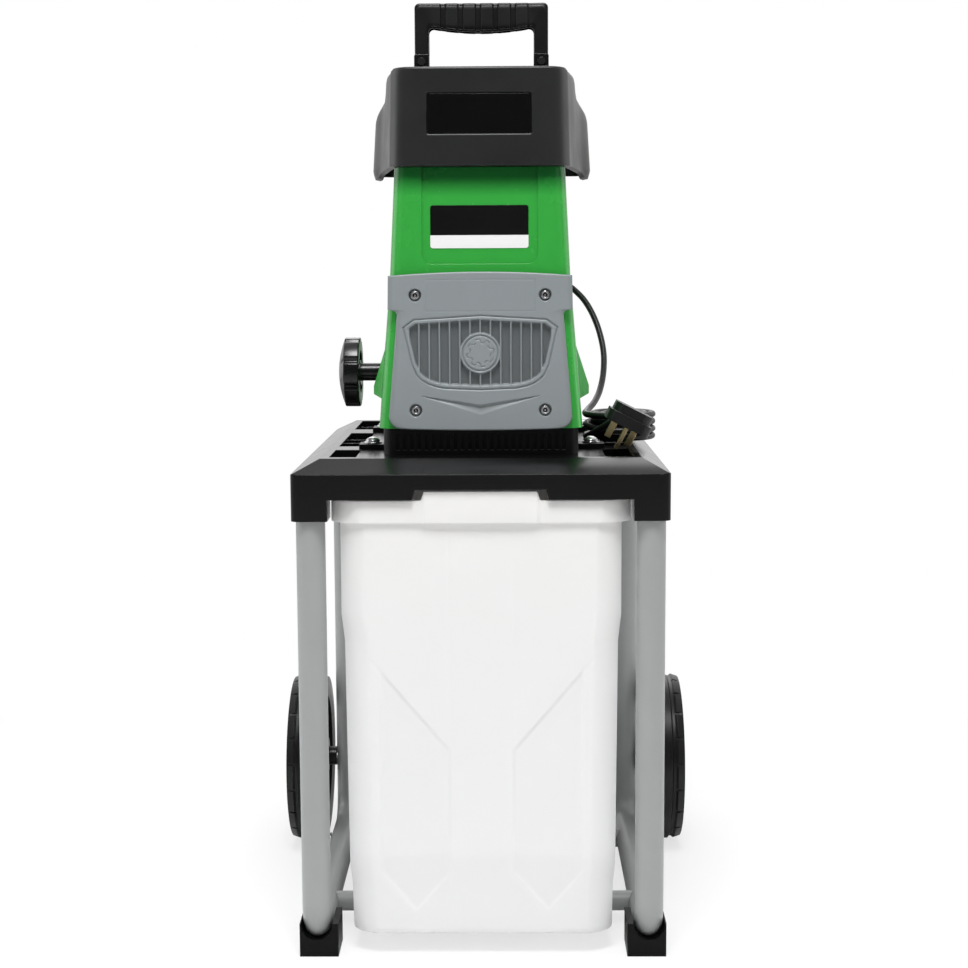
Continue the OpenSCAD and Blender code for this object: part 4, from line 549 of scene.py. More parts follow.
BOX_LOW, BOX_HIGH = span("collection_box")
BOX_STATIONS, WALL_ROWS, INNER_ROWS = (180, 44, 16, 14), 240, 12
BOX_Y0, BOX_Y1, BOX_WALL = -235.0, 203.0, 2.5
TOE_Z, TOE_BACK, TOE_STEP = BOX_LOW[2], -160.0, 6.0
FLOOR_Z, FOOT_R = TOE_Z + 13.5, 8.0
WALL_LEAN, FRONT_LEAN_TOP, BACK_LEAN_HEIGHT = 8.0, FLOOR_Z + 70, 418.0
WALL_Z = [0, 70, 90, 312, 338, 450]
WALL_HALF = [126.5, 127.5, 129.5, 131.5, 134.5, 134.5]
BOX_CORNER_R, RIM_CORNER_R, CORNER_FACET, CORNER_DEEP = 24.0, 28.0, 0.6, 0.6
RIM_Z0, RIM_Z1, RIM_HALF, RIM_FRONT = 428.0, 450.0, BOX_HIGH[0], 3.0
# Share of the way from the wall to the rim's outline, and height above the rim's foot
RIM_PROFILE = np.array([
    [0.75, 0], [0.93, 0.3], [1, 1.8], [1, 8], [1, 14], [1, 19.5], [0.93, 21.6], [0.75, 22], [0.5, 22],
    [0.45, 20], [0.4, 19],
])
PULL_HALF, PULL_EDGE, PULL_OUT, PULL_RISE = 55.0, 4.0, 1.6, BOX_HIGH[2] - RIM_Z1
PULL_RISE_AT = (8.0, 13.0)
PULL_RISE_SHARE, PULL_OUT_SHARE = 0.44, 0.9
PENNANT = np.array([[97.0, 284], [31, 207], [31, 85], [64, 46.5], [97, 85]])
PENNANT_DEPTH, PENNANT_EDGE = 1.1, 2.4
LINE_DEPTH, LINE_W, OUT_LINE_EDGE, UP_LINE_EDGE, UP_LINE_SHARE = 0.5, 1.2, 1.6, 1.8, 0.5


def box_wall(places, z, inset):
    """The box's wall at a grid of heights, drawn in by inset.

    Its half widths follow a stepped line up Z, and both ends lean in towards the foot.
    """
    half = np.interp(z, WALL_Z, WALL_HALF) - inset
    y0 = BOX_Y0 + WALL_LEAN * np.clip((FRONT_LEAN_TOP - z) / (FRONT_LEAN_TOP - TOE_Z), 0, 1) + inset
    y1 = BOX_Y1 - WALL_LEAN * np.clip((RIM_Z1 - z) / BACK_LEAN_HEIGHT, 0, 1) - inset
    r = BOX_CORNER_R - inset
    return plan(places, half, y0, y1, r, r, CORNER_FACET, CORNER_DEEP)


def pennant_relief(x, z):
    """How deep the front is pressed in at |x| and z: a pennant and the lines that run on from its edges.

    One goes out from the tip, the other up from the inner corner.
    """
    (tip_x, tip_z), (inner_x, inner_z) = PENNANT[:2]
    edge_x, edge_z = tip_x - inner_x, tip_z - inner_z
    beside = ((x - tip_x) * edge_z - (z - tip_z) * edge_x) / math.hypot(edge_x, edge_z)
    out_line = ridge(beside, LINE_W, OUT_LINE_EDGE) * (x > tip_x)
    up_line = UP_LINE_SHARE * ridge(x - inner_x, LINE_W, UP_LINE_EDGE) * (z > inner_z)
    pennant = smooth_step(polygon_depth(x, z, PENNANT) / PENNANT_EDGE + 0.5)
    return PENNANT_DEPTH * pennant + LINE_DEPTH * (out_line + up_line)


def box_bottom(places):
    """Height of the box's underside at each station: low at the toe, higher behind it."""
    _, y = box_wall(places, np.full((1, len(places[0])), FLOOR_Z), np.zeros((1, 1)))
    return TOE_Z + (FLOOR_Z - TOE_Z) * eased(y, TOE_BACK, TOE_STEP)


def drawn_in(ring, shares):
    """Copies of a ring (1, n, 3) whose X is drawn towards x = 0, to the given shares."""
    return ring * np.array([[[share, 1, 1]] for share in shares])


def box_shell():
    """Closed shell: bottom, round foot, outer wall with pennants, rim with a pull, inner wall and floor.

    Bottom and floor run from their outline to the line x = 0.
    """
    places = stations(*BOX_STATIONS)
    _, along, direction = places
    flat = (along == -1) & (direction == -90)
    low = box_bottom(places)
    angle = np.radians(np.linspace(0, 90, 7))[:-1, None]
    foot_z = low + FOOT_R * (1 - np.cos(angle))
    wall_z = low + FOOT_R + (RIM_Z0 - low - FOOT_R) * np.linspace(0, 1, WALL_ROWS)[:, None]
    z = np.concatenate([foot_z, wall_z])
    inset = np.concatenate([FOOT_R * (1 - np.sin(angle)), np.zeros((WALL_ROWS, 1))])
    x, y = box_wall(places, z, inset)
    outer = grid_of(x, y + flat * pennant_relief(np.abs(x), z), z)
    bottom = drawn_in(outer[:1], (0.0, 0.5))
    share, rise = RIM_PROFILE.T[..., None]
    rim_x, rim_y = plan(
        places, RIM_HALF, BOX_Y0 - RIM_FRONT, BOX_Y1 + RIM_FRONT, RIM_CORNER_R, RIM_CORNER_R, CORNER_FACET,
        CORNER_DEEP)
    top_x, top_y = outer[-1:, :, 0], outer[-1:, :, 1]
    x = top_x + (rim_x - top_x) * share
    y = top_y + (rim_y - top_y) * share
    pull = flat * ridge(x, 2 * PULL_HALF, PULL_EDGE)
    out = PULL_OUT * pull * (share > PULL_OUT_SHARE)
    lift = PULL_RISE * pull * (share > PULL_RISE_SHARE) * sloped(rise, *PULL_RISE_AT)
    rim = grid_of(x, y - out, RIM_Z0 + rise + lift)
    inner_top = RIM_Z0 + RIM_PROFILE[-1, 1]
    inner_z = inner_top + (low + BOX_WALL - inner_top) * np.linspace(0, 1, INNER_ROWS)[:, None]
    x, y = box_wall(places, inner_z, np.full((INNER_ROWS, 1), BOX_WALL))
    inner = grid_of(x, y, inner_z)
    floor = drawn_in(inner[-1:], (0.5, 0.0))
    grid = np.concatenate([bottom, outer, rim, inner, floor])
    return skin("collection_box_form", grid, wrap_cols=True, sharp=36)


stands_for(box_shell(), "collection_box")


# Hopper

HOPPER_LOW, HOPPER_HIGH = span("hopper")
HOPPER_H = 93.0
HOPPER_TOP = HOUSING_TOP + HOPPER_H
HOPPER_STATIONS, HOPPER_ROWS, FUNNEL_ROWS, LIP_ROWS = (120, 60, 40, 12), 90, 14, 9
HOPPER_WALL, LIP_R, SEAT_GAP, FRONT_FLAT = 5.0, 2.5, 1.2, 0.5
FRONT_HALF, SEAT_GROWS, FRONT_R, REAR_R, HOPPER_LEAN = 84.5, 2.5, 14.0, 14.0, 4.0
# Amounts and, in values that end in AT, where each starts and over what length it comes in
FRONT_BOW, FRONT_BOW_AT = 6.0, (50.0, 35.0)
MOUTH_TURN, MOUTH_TURN_AT = 1.5, (0.0, 8.0)
MOUTH_FLARE, MOUTH_FLARE_AT = 10.5, (24.0, 110.0)
SEAT_FLARE, SEAT_FLARE_AT = 21.0, (24.0, 150.0)
WING_STEP, WING_STEP_AT = 3.5, (12.0, 20.0)
WING_SLOPE, WING_SLOPE_AT = 2.0, (35.0, 50.0)
WING_CURL, WING_CURL_AT = 3.0, (HOPPER_H - 10, 12.0)
SEAT_FROM_MOUTH_AT, WING_CREASE_AT = (4.0, 36.0), (132.0, 32.0)
WING_DROP, WING_DROP_HASTE, WING_DROP_END = 5.5, 1.3, 20.0
FEED_HALF, FEED_Y0, FEED_Y1, FEED_R, FEED_WALL = 42.0, -147.0, -49.0, 6.0, 5.0
FUNNEL_EDGE, FUNNEL_BELLY, INNER_TOP = 12.0, 0.06, 30.0
PLATE_HALF, PLATE_Z0, PLATE_Z1 = 49.5, HOUSING_TOP + 30.5, HOUSING_TOP + 68.5
PLATE_DEPTH, PLATE_EDGE = 2.4, 1.2


def hopper_wall(places, z, inset):
    """Rows of the hopper's wall at heights z, drawn in by inset, and how far the wings have come in.

    Half width grows from the front corner back, along a bend at the mouth and a straight line at the seat,
    with a smooth step down Z between them. The wings add a step and a slope down Z behind a crease, and curl
    in at the foot. The front bows back towards its corners.
    """
    down = (HOPPER_TOP - z)[:, None]
    low = sloped(down, 0, HOPPER_H)
    inset = inset[:, None]
    y0, y1 = HOPPER_LOW[1] + HOPPER_LEAN * low + inset, HOPPER_HIGH[1] - inset
    radii = FRONT_R - inset / 2, REAR_R - inset / 2
    _, y = plan(places, 0 * y0, y0, y1, *radii)
    back = y - HOPPER_LOW[1]
    mouth = MOUTH_FLARE * (1 - (1 - sloped(back, *MOUTH_FLARE_AT)) ** 2)
    seat = SEAT_FLARE * sloped(back, *SEAT_FLARE_AT)
    rise = eased(back, *WING_CREASE_AT)
    reach = WING_STEP * eased(down, *WING_STEP_AT) + WING_SLOPE * sloped(down, *WING_SLOPE_AT)
    wing = (reach - WING_CURL * eased(down, *WING_CURL_AT)) * rise
    flare = mouth + (seat - mouth) * eased(down, *SEAT_FROM_MOUTH_AT) + wing
    turn = MOUTH_TURN * (1 - sloped(down, *MOUTH_TURN_AT)) ** 2
    x, _ = plan(places, FRONT_HALF + SEAT_GROWS * low - turn - inset + flare, y0, y1, *radii)
    bow = FRONT_BOW * sloped(np.abs(x), *FRONT_BOW_AT) ** 2 * (1 - places[1]) / 2
    return x, y + bow, rise


def wing_drop(y, rise):
    """How far a wing's foot hangs below the seat: it comes in at the crease and goes out before the back."""
    end = smooth_step((HOPPER_HIGH[1] - REAR_R - y) / WING_DROP_END)
    return WING_DROP * smooth_step(rise * WING_DROP_HASTE) * end


def hopper_shell():
    """Closed wall: up outside, over a round lip, down the funnel to the feed, out below and down the wings.

    The plate's seat is pressed into the flat of the front.
    """
    places = stations(*HOPPER_STATIONS)
    outer_z = np.linspace(HOUSING_TOP + SEAT_GAP, HOPPER_TOP - LIP_R, HOPPER_ROWS)
    x, y, rise = hopper_wall(places, outer_z, np.zeros_like(outer_z))
    z = outer_z[:, None] - np.linspace(1, 0, HOPPER_ROWS)[:, None] ** 2 * wing_drop(y, rise)
    front = y - y.min(1, keepdims=True) < FRONT_FLAT
    inside = np.minimum(PLATE_HALF - np.abs(x), np.minimum(z - PLATE_Z0, PLATE_Z1 - z))
    outer = grid_of(x, y + front * PLATE_DEPTH * smooth_step(inside / PLATE_EDGE + 0.5), z)
    turn = np.linspace(0, np.pi, LIP_ROWS)
    x, y, _ = hopper_wall(places, np.full(LIP_ROWS, HOPPER_TOP), LIP_R * (1 - np.cos(turn)))
    lip = grid_of(x, y, (HOPPER_TOP - LIP_R + LIP_R * np.sin(turn))[:, None])
    mouth_x, mouth_y, _ = hopper_wall(places, np.array([HOPPER_TOP]), np.array([2 * HOPPER_WALL]))
    feed_x, feed_y = plan(places, FEED_HALF, FEED_Y0, FEED_Y1, FEED_R, FEED_R)
    share = np.concatenate([[0.0, 0.12], np.linspace(0.16, 1, FUNNEL_ROWS)])[:, None]
    ease = share + FUNNEL_BELLY * np.sin(np.pi * share)
    funnel_top, funnel_foot = HOPPER_TOP - FUNNEL_EDGE, HOUSING_TOP + FUNNEL_EDGE
    funnel = grid_of(
        mouth_x + (feed_x - mouth_x) * ease, mouth_y + (feed_y - mouth_y) * ease,
        funnel_top + (funnel_foot - funnel_top) * share)
    throat = grid_of(feed_x, feed_y, HOUSING_TOP)
    x, y = plan(
        places, FEED_HALF + FEED_WALL, FEED_Y0 - FEED_WALL, FEED_Y1 + FEED_WALL, FEED_R + 2, FEED_R + 2)
    below = grid_of(x, y, HOUSING_TOP)
    inner_z = HOUSING_TOP + np.array([INNER_TOP, FUNNEL_EDGE, 0.0])
    x, y, rise = hopper_wall(places, inner_z, np.full(3, HOPPER_WALL))
    inner = grid_of(x, y, inner_z[:, None] - np.array([[0.0], [0.5], [1.0]]) * wing_drop(y, rise))
    grid = np.concatenate([outer, lip, funnel, throat, below, inner])
    return skin("hopper_form", grid, wrap_rows=True, wrap_cols=True, sharp=40)


dress(stands_for(hopper_shell(), "hopper"), HOPPER_BLACK)


# Plates


def slab(name, x0, x1, z0, z1, corner, front, thick=0.6, lean=0.0):
    """A flat slab with round corners: two outlines a thickness apart, closed.

    It is set back by lean for each unit of Z.
    """
    across, along, direction = stations(2, 2, 2, 8)
    x = (x0 + x1) / 2 + across * ((x1 - x0) / 2 - corner) + corner * np.cos(np.radians(direction))
    z = (z0 + z1) / 2 + along * ((z1 - z0) / 2 - corner) + corner * np.sin(np.radians(direction))
    y = front + lean * (z - z0)
    piece = skin(name, grid_of(x, y + np.array([[0.0], [thick]]), z), wrap_cols=True, fill=True)
    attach(piece, "chassis")
    return piece


PLATE_GAP, PLATE_CORNER, PLATE_SUNK = 0.8, 1.5, 1.2
PLATE_UP = (PLATE_Z0 + PLATE_Z1) / 2 - HOUSING_TOP
PLATE_FRONT = HOPPER_LOW[1] + HOPPER_LEAN * (1 - PLATE_UP / HOPPER_H) + PLATE_SUNK
dress(
    slab(
        "hopper_plate", PLATE_GAP - PLATE_HALF, PLATE_HALF - PLATE_GAP, PLATE_Z0 + PLATE_GAP,
        PLATE_Z1 - PLATE_GAP, PLATE_CORNER, PLATE_FRONT, lean=-HOPPER_LEAN / HOPPER_H),
    finish_of("gloss_black", (0.004, 0.004, 0.0042), 0.16, edge=0.0004, rub=0.0, Specular_IOR_Level=0.25),
)
NECK_H, NECK_SET_BACK = 104.0, 5.0
NECK_LEAN = NECK_SET_BACK / NECK_H
LABEL_X0, LABEL_X1, LABEL_CORNER, LABEL_SUNK = -47.4, 46.6, 2.5, 1.3
LABEL_Z0, LABEL_Z1, LABEL_SPLIT = HOUSING_TOP - 77.0, HOUSING_TOP - 36.2, HOUSING_TOP - 64.6
LABEL_FRONT = HOUSING_LOW[1] + LABEL_SUNK + NECK_LEAN * (LABEL_Z0 - HOUSING_TOP + NECK_H)
LABEL_BLUR = 0.1
LABEL_WHITE = ((LABEL_SPLIT + LABEL_BLUR) * MM, (LABEL_SPLIT - LABEL_BLUR) * MM, (0.78, 0.78, 0.78))
dress(
    slab(
        "label_plate", LABEL_X0, LABEL_X1, LABEL_Z0, LABEL_Z1, LABEL_CORNER, LABEL_FRONT, lean=NECK_LEAN),
    finish_of(
        "label_two_tone", (0.004, 0.004, 0.004), 0.3, edge=0.0003, rub=0.0, fade=LABEL_WHITE,
        Specular_IOR_Level=0.3),
)


# Handle and its lugs

ARM_LOW, ARM_HIGH = span("carry_handle")
SCREW_LOW, SCREW_HIGH = span("handle_screws")
ARM_W, ARM_ROWS, HANDLE_CORNER, HANDLE_EDGE = 15.0, 24, 5.0, 2.2
GRIP_HALF, GRIP_ROWS = ARM_HIGH[0] - ARM_W, 241
GRIP_THICK, GRIP_BELLY, GRIP_BANDS = 23.0, 7.0, 6
GROOVE_AT, GROOVE_SHARE, GROOVE_EDGE, GROOVE_DEPTH, GROOVE_END = 0.81, 0.3, 1.6, 2.0, 1.5
BAND_DOWN, BAND_H, BAND_EDGE, BAND_END, BAND_END_EDGE = 13.0, 20.0, 3.0, 1.0, 2.0


def turn_points(x, z, radius, start, end, steps=8):
    """Points of a round corner about (x, z)."""
    angle = np.radians(np.linspace(start, end, steps))
    return np.stack([x + radius * np.cos(angle), z + radius * np.sin(angle)], 1)


def grip_groove(x):
    """1 in the grooves across the grip and 0 on the bands between them, at places along X."""
    pitch = 2 * GRIP_HALF / GRIP_BANDS
    beside = ((x + GRIP_HALF) / pitch % 1 - GROOVE_AT) * pitch
    return ridge(beside, GROOVE_SHARE * pitch, GROOVE_EDGE)


def grip_painted_shade(x, y, z):
    """Pale on the grip's bands; dark in its grooves and along its edges as painted shade, and dark on the
    arms.
    """
    on_grip = smooth_step((GRIP_HALF - BAND_END - np.abs(x)) / BAND_END_EDGE)
    return 1 - on_grip * ridge(z - ARM_HIGH[2] + BAND_DOWN, BAND_H, BAND_EDGE) * (1 - grip_groove(x))


def handle_line(half, across, height):
    """X and Z along the handle: up the left arm, round a corner, across at the given heights, and down."""
    shoulder, centre = height[0] - HANDLE_CORNER, half - HANDLE_CORNER
    foot = np.array([half, ARM_LOW[2]])
    share = np.linspace(0, 1, ARM_ROWS, endpoint=False)[:, None]
    arm = foot + (np.array([half, shoulder]) - foot) * share
    return np.concatenate([
        arm * [-1, 1], turn_points(-centre, shoulder, HANDLE_CORNER, 180, 90), np.stack([across, height], 1),
        turn_points(centre, shoulder, HANDLE_CORNER, 90, 0), arm[::-1]])


def handle_shell():
    """A band between an outer and an inner line, with grooves before and behind the grip.

    Each section goes across the front from the outer line to the inner one, and back across the rear. An arc
    rises at every edge, and the sides lie sunk between the arcs.
    """
    top = ARM_HIGH[2]
    across = np.linspace(HANDLE_CORNER - GRIP_HALF, GRIP_HALF - HANDLE_CORNER, GRIP_ROWS)
    belly = GRIP_BELLY * (1 - (across / (GRIP_HALF + ARM_W / 2)) ** 2)
    outer = handle_line(ARM_HIGH[0], across, 0 * across + top)
    inner = handle_line(GRIP_HALF, across, top - GRIP_THICK - belly)
    on_grip = smooth_step((GRIP_HALF - GROOVE_END - np.abs(outer[:, 0])) / GROOVE_END)
    groove = GROOVE_DEPTH * grip_groove(outer[:, 0]) * on_grip
    width = np.linalg.norm(inner - outer, axis=1)[:, None]
    turn = np.radians(np.linspace(0, 90, 5))
    near, deep = HANDLE_EDGE * (1 - np.sin(turn)), HANDLE_EDGE * (1 - np.cos(turn))
    y0, y1 = (ARM_LOW[1] + groove)[:, None], (ARM_HIGH[1] - groove)[:, None]
    flat = np.linspace(0, 1, 10)[None, 1:-1] + 0 * width
    edge = deep / width
    share = np.concatenate([edge[:, ::-1], flat, 1 - edge, 1 - edge[:, ::-1], flat[:, ::-1], edge], 1)
    y = np.concatenate([
        y0 + near[::-1], y0 + 0 * flat, y0 + near, y1 - near[::-1], y1 + 0 * flat, y1 - near], 1)
    line = outer[:, None] + (inner - outer)[:, None] * share[..., None]
    grid = grid_of(line[..., 0], y, line[..., 1])
    return skin("carry_handle_form", grid, wrap_cols=True, sharp=50, fill=True)


handle = stands_for(handle_shell(), "carry_handle")
# Painted shade in the grip's grooves and along its edges; the arms are painted darker too.
keep_painted_shade(handle, grip_painted_shade)
dress(handle, finish_of(
    "handle_black", (0.007, 0.0072, 0.0075), 0.42, rub=0.05, painted_shade=0.75, Specular_IOR_Level=0.4))
LUG_OVER, LUG_CORNER, LUG_THICK, LUG_FRONT = 0.4, 2.0, 6.0, SCREW_LOW[1] + 2.4
LUG_X0, LUG_X1 = GRIP_HALF - LUG_OVER, ARM_HIGH[0] + LUG_OVER
LUG_Z0, LUG_Z1 = HOPPER_TOP - 10, SCREW_HIGH[2] + 3.5
for side, x0, x1 in (("left", -LUG_X1, -LUG_X0), ("right", LUG_X0, LUG_X1)):
    lug = slab("hopper_lug_" + side, x0, x1, LUG_Z0, LUG_Z1, LUG_CORNER, LUG_FRONT, thick=LUG_THICK)
    dress(lug, FINISHES["black_plastic"])


# Adjusting knob

KNOB_LOW, KNOB_HIGH = span("adjusting_knob")
KNOB_LOBES, KNOB_THICK, KNOB_DOME, KNOB_EDGE, HUB_R = 8, 22.0, 6.5, 1.5, 9.0
KNOB_GROOVE, KNOB_GROOVE_HALF, KNOB_GROOVE_AT = 2.6, 7.0, (0.55, 0.4)
HOLLOW_R0, HOLLOW_R1, HOLLOW_DEPTH, HOLLOW_DRAFT = HUB_R + 3, 21.9, 6.0, 0.5


def adjusting_knob():
    """A profile spun round X: domed face, round edges, a hollow back and the hub.

    Its radius falls in narrow grooves between the lobes, which fade towards the middle.
    """
    (x0, y0, z0), (x1, y1, z1) = KNOB_LOW, KNOB_HIGH
    radius = (z1 - z0) / 2
    face = np.linspace(0, 1, 16)
    turn = np.radians(np.linspace(0, 90, 6))
    out, side = KNOB_EDGE * np.sin(turn), KNOB_EDGE * np.cos(turn)
    floor = KNOB_THICK - HOLLOW_DEPTH
    x = np.concatenate([
        KNOB_DOME * face ** 2, KNOB_DOME + KNOB_EDGE - side, KNOB_THICK - KNOB_EDGE + out,
        [KNOB_THICK, floor, floor, KNOB_THICK, KNOB_THICK, x1 - x0, x1 - x0]])
    r = np.concatenate([
        (radius - KNOB_EDGE) * face, radius - KNOB_EDGE + out, radius - KNOB_EDGE + side,
        [HOLLOW_R1, HOLLOW_R1 - HOLLOW_DRAFT, HOLLOW_R0 + HOLLOW_DRAFT, HOLLOW_R0, HUB_R, HUB_R, 0]])
    angle = np.linspace(0, 360, 240, endpoint=False)
    pitch = 360 / KNOB_LOBES
    from_groove = np.abs(angle % pitch - pitch / 2)
    groove = KNOB_GROOVE * smooth_step(1 - from_groove / KNOB_GROOVE_HALF)
    r = r[:, None] - groove * eased(r / radius, *KNOB_GROOVE_AT)[:, None]
    turned = np.radians(angle)
    grid = grid_of(
        x0 + x[:, None], (y0 + y1) / 2 + r * np.cos(turned), (z0 + z1) / 2 + r * np.sin(turned))
    return skin("adjusting_knob_form", grid, wrap_cols=True, sharp=40)


stands_for(adjusting_knob(), "adjusting_knob")


# Grille panel

PANEL_LOW, PANEL_HIGH = span("grille_panel")
PANEL_FRONT = PANEL_LOW[1]
PANEL_H, FOOT_BOW, TOP_BOW, PANEL_CORNER_R = 147.0, 1.5, 3.7, 12.0
PANEL_FOOT = PANEL_LOW[2] + FOOT_BOW
PANEL_UP = [12, 110, 111.5, 113, 114, 114.6, 147]
PANEL_HALF = [88.5, 80, 80.6, 82, 84.4, 88.8, 88.2]
PANEL_EDGE_R, SIDE_BEND, SIDE_BEND_W = 1.6, 1.6, 12.0
# Right half of the grille's shield outline, about its middle
SHIELD_RIGHT = np.array([
    [33.7, -34.6], [44, -32.7], [51.5, -29.9], [57.5, -26], [62, -21.3], [66.6, -11.3], [74.8, 24.8],
    [64, 32.8],
])
SHIELD = np.concatenate([[[0, -36.0]], SHIELD_RIGHT, [[0, 36.7]], (SHIELD_RIGHT * [-1, 1])[::-1]])
SHIELD_UP, SHIELD_GROOVE, SHIELD_GROOVE_IN, SHIELD_GROOVE_EDGE = 73.0, 1.3, 0.8, 1.0
SHIELD_BORDER_AT = (4.0, 1.8)
GRILLE_DEPTH, RIB_H, RIB_W, RIB_EDGE, RIB_PITCH = 4.0, 3.6, 1.9, 1.3, 9.8
ROUNDEL_R, ROUNDEL_PROUD, ROUNDEL_RING, RING_IN = 19.5, 0.4, 1.3, 2.6
TEETH, TOOTH_LINE, TOOTH_R, TOOTH_SHARE, TOOTH_STEEP = 8, 1.0, 13.2, 0.13, 2.4
CUT_DEPTH, CUT_HALF, CUT_LOW, CUT_HIGH, CUT_END, CUT_DEEPEST = 1.9, 57.0, 13.6, 23.6, 32.0, 0.66
FRAME_LINE, FRAME_LINE_W, FRAME_HALF, FRAME_UP, FRAME_HALF_H = 0.3, 0.8, 52.0, 128.0, 15.0
SCREW_X, SCREW_UP, SCREW_SEAT, SCREW_SEAT_R = 62.3, (18.0, 128.5), 3.4, 6.4
RING_W, LINE_EDGE = 1.5, 0.9
PANEL_PAINTED_SHADE_AT = (PANEL_FRONT + 0.5, 3.5)


def panel_depth(x, up):
    """How far the panel's face lies behind its front plane, at x and at a height above the panel's foot.

    Sum of a groove round the grille's shield outline, its sunk floor with round ribs, a roundel with a ring
    and a toothed line, a slanted cut below, a faint frame above and four screw seats.
    """
    side, rise = np.abs(x), up - SHIELD_UP
    inside = polygon_depth(x, rise, SHIELD)
    beside_rib = ((x / RIB_PITCH + 0.5) % 1 - 0.5) * RIB_PITCH
    floor = GRILLE_DEPTH - RIB_H * ridge(beside_rib, RIB_W, RIB_EDGE)
    depth = SHIELD_GROOVE * ridge(inside - SHIELD_GROOVE_IN, RING_W, SHIELD_GROOVE_EDGE)
    depth += eased(inside, *SHIELD_BORDER_AT) * floor
    r, angle = np.hypot(x, rise), np.arctan2(rise, x)
    tooth = TOOTH_R * (1 - TOOTH_SHARE + TOOTH_SHARE * np.clip(TOOTH_STEEP * np.sin(TEETH * angle), -1, 1))
    roundel = ROUNDEL_RING * ridge(r - ROUNDEL_R + RING_IN, RING_W, LINE_EDGE)
    roundel += TOOTH_LINE * ridge(r - tooth, LINE_EDGE, LINE_EDGE) - ROUNDEL_PROUD
    depth += (roundel - depth) * smooth_step(ROUNDEL_R + 0.5 - r)
    low, high = (start + (CUT_END - start) * side / CUT_HALF for start in (CUT_LOW, CUT_HIGH))
    t = np.clip((up - low) / np.maximum(high - low, 0.01), 0, 1) * (side < CUT_HALF)
    depth += CUT_DEPTH * np.minimum(t / CUT_DEEPEST, (1 - t) / (1 - CUT_DEEPEST))
    in_frame = np.minimum(FRAME_HALF - side, FRAME_HALF_H - np.abs(up - FRAME_UP))
    depth += FRAME_LINE * ridge(in_frame, FRAME_LINE_W, LINE_EDGE)
    for screw_up in SCREW_UP:
        from_screw = np.hypot(side - SCREW_X, up - screw_up)
        depth += SCREW_SEAT * smooth_step((SCREW_SEAT_R - from_screw) / LINE_EDGE)
    return depth


def grille_panel(cols=321, rows=277):
    """The panel as a height field over its own outline, with round edges and sides that bend back."""
    u, v = np.meshgrid(np.linspace(-1, 1, cols), np.linspace(0, 1, rows))
    low, high = -FOOT_BOW * (1 - u * u), PANEL_H + TOP_BOW * (1 - u * u)
    up = low + (high - low) * v
    corner = np.clip(PANEL_CORNER_R - up, 0, PANEL_CORNER_R)
    half = np.interp(up, PANEL_UP, PANEL_HALF) - PANEL_CORNER_R + np.sqrt(PANEL_CORNER_R ** 2 - corner ** 2)
    x = u * half
    to_side = half - np.abs(x)
    to_edge = np.minimum(np.minimum(to_side, up - low), high - up)
    edge = np.clip(1 - to_edge / PANEL_EDGE_R, 0, 1)
    bend = np.clip(1 - to_side / SIDE_BEND_W, 0, 1)
    back = PANEL_EDGE_R * (1 - np.sqrt(1 - edge * edge)) + SIDE_BEND * bend * bend
    front = grid_of(x, PANEL_FRONT + panel_depth(x, up) + back, PANEL_FOOT + up)
    grid = np.pad(front, ((1, 1), (1, 1), (0, 0)), mode="edge")
    rim = np.ones(grid.shape[:2], bool)
    rim[1:-1, 1:-1] = False
    grid[rim, 1] = PANEL_HIGH[1]
    piece = skin("grille_panel_form", grid, sharp=75, fill=True)
    # Painted shade: the deeper a point lies behind the panel's front, the darker it is painted, in grooves,
    # recesses, screw seats and round the edges.
    keep_painted_shade(piece, lambda x, y, z: sloped(y, *PANEL_PAINTED_SHADE_AT))
    return piece


dress(stands_for(grille_panel(), "grille_panel"), finish_of(
    "grey_panel", (0.235, 0.26, 0.27), 0.42, grain=(1800.0, 0.3, 0.00003), rub=0.05, mottle=0.04, painted_shade=0.55))


# Panel screws

SCREW_R, SOCKET_R, PIN_R, SHANK_R, SCREW_SIDES = 4.2, 2.2, 0.8, 2.0, 32
HEAD_H, SOCKET_DEPTH, PIN_DEPTH = 2.4, 1.8, 0.9


def panel_screws():
    """Four turned screws: one profile of radius and depth spun round Y at each seat, with a pinned socket."""
    front, back = (corner[1] for corner in span("panel_screws"))
    r, deep = np.array([
        [0, PIN_DEPTH], [PIN_R, PIN_DEPTH], [PIN_R + 0.2, SOCKET_DEPTH], [SOCKET_R - 0.2, SOCKET_DEPTH],
        [SOCKET_R, 0.4], [SOCKET_R + 0.4, 0], [SCREW_R - 0.6, 0], [SCREW_R, 0.7], [SCREW_R, HEAD_H],
        [SHANK_R, HEAD_H], [SHANK_R, back - front], [0, back - front],
    ]).T[..., None]
    angle = np.linspace(0, 2 * np.pi, SCREW_SIDES, endpoint=False)
    screw = grid_of(r * np.cos(angle), front + deep, r * np.sin(angle)).reshape(-1, 3)
    faces = grid_quads(len(r), SCREW_SIDES, wrap_cols=True)
    places = [(x, 0, PANEL_FOOT + up) for up in SCREW_UP for x in (-SCREW_X, SCREW_X)]
    points = np.concatenate([screw + place for place in places])
    quads = np.concatenate([faces + i * len(screw) for i in range(len(places))])
    piece = piece_from("panel_screws_form", points, quads)
    # Painted shade in the screws' sockets.
    keep_painted_shade(piece, lambda x, y, z: screw_painted_shade(np.abs(x) - SCREW_X, z - PANEL_FOOT))
    return piece


def screw_painted_shade(x, up):
    """Painted shade in the sockets, between the pin and the socket's wall."""
    r = np.minimum(*[np.hypot(x, up - place) for place in SCREW_UP])
    return (r > PIN_R + 0.1) * (r < SOCKET_R - 0.1)


dress(stands_for(panel_screws(), "panel_screws"), finish_of(
    "screw_steel", (0.5, 0.5, 0.51), 0.32, grain=(3000.0, 0.1, 0.00002), rub=0.3, painted_shade=0.93, Metallic=1.0))


# Light, floor and background


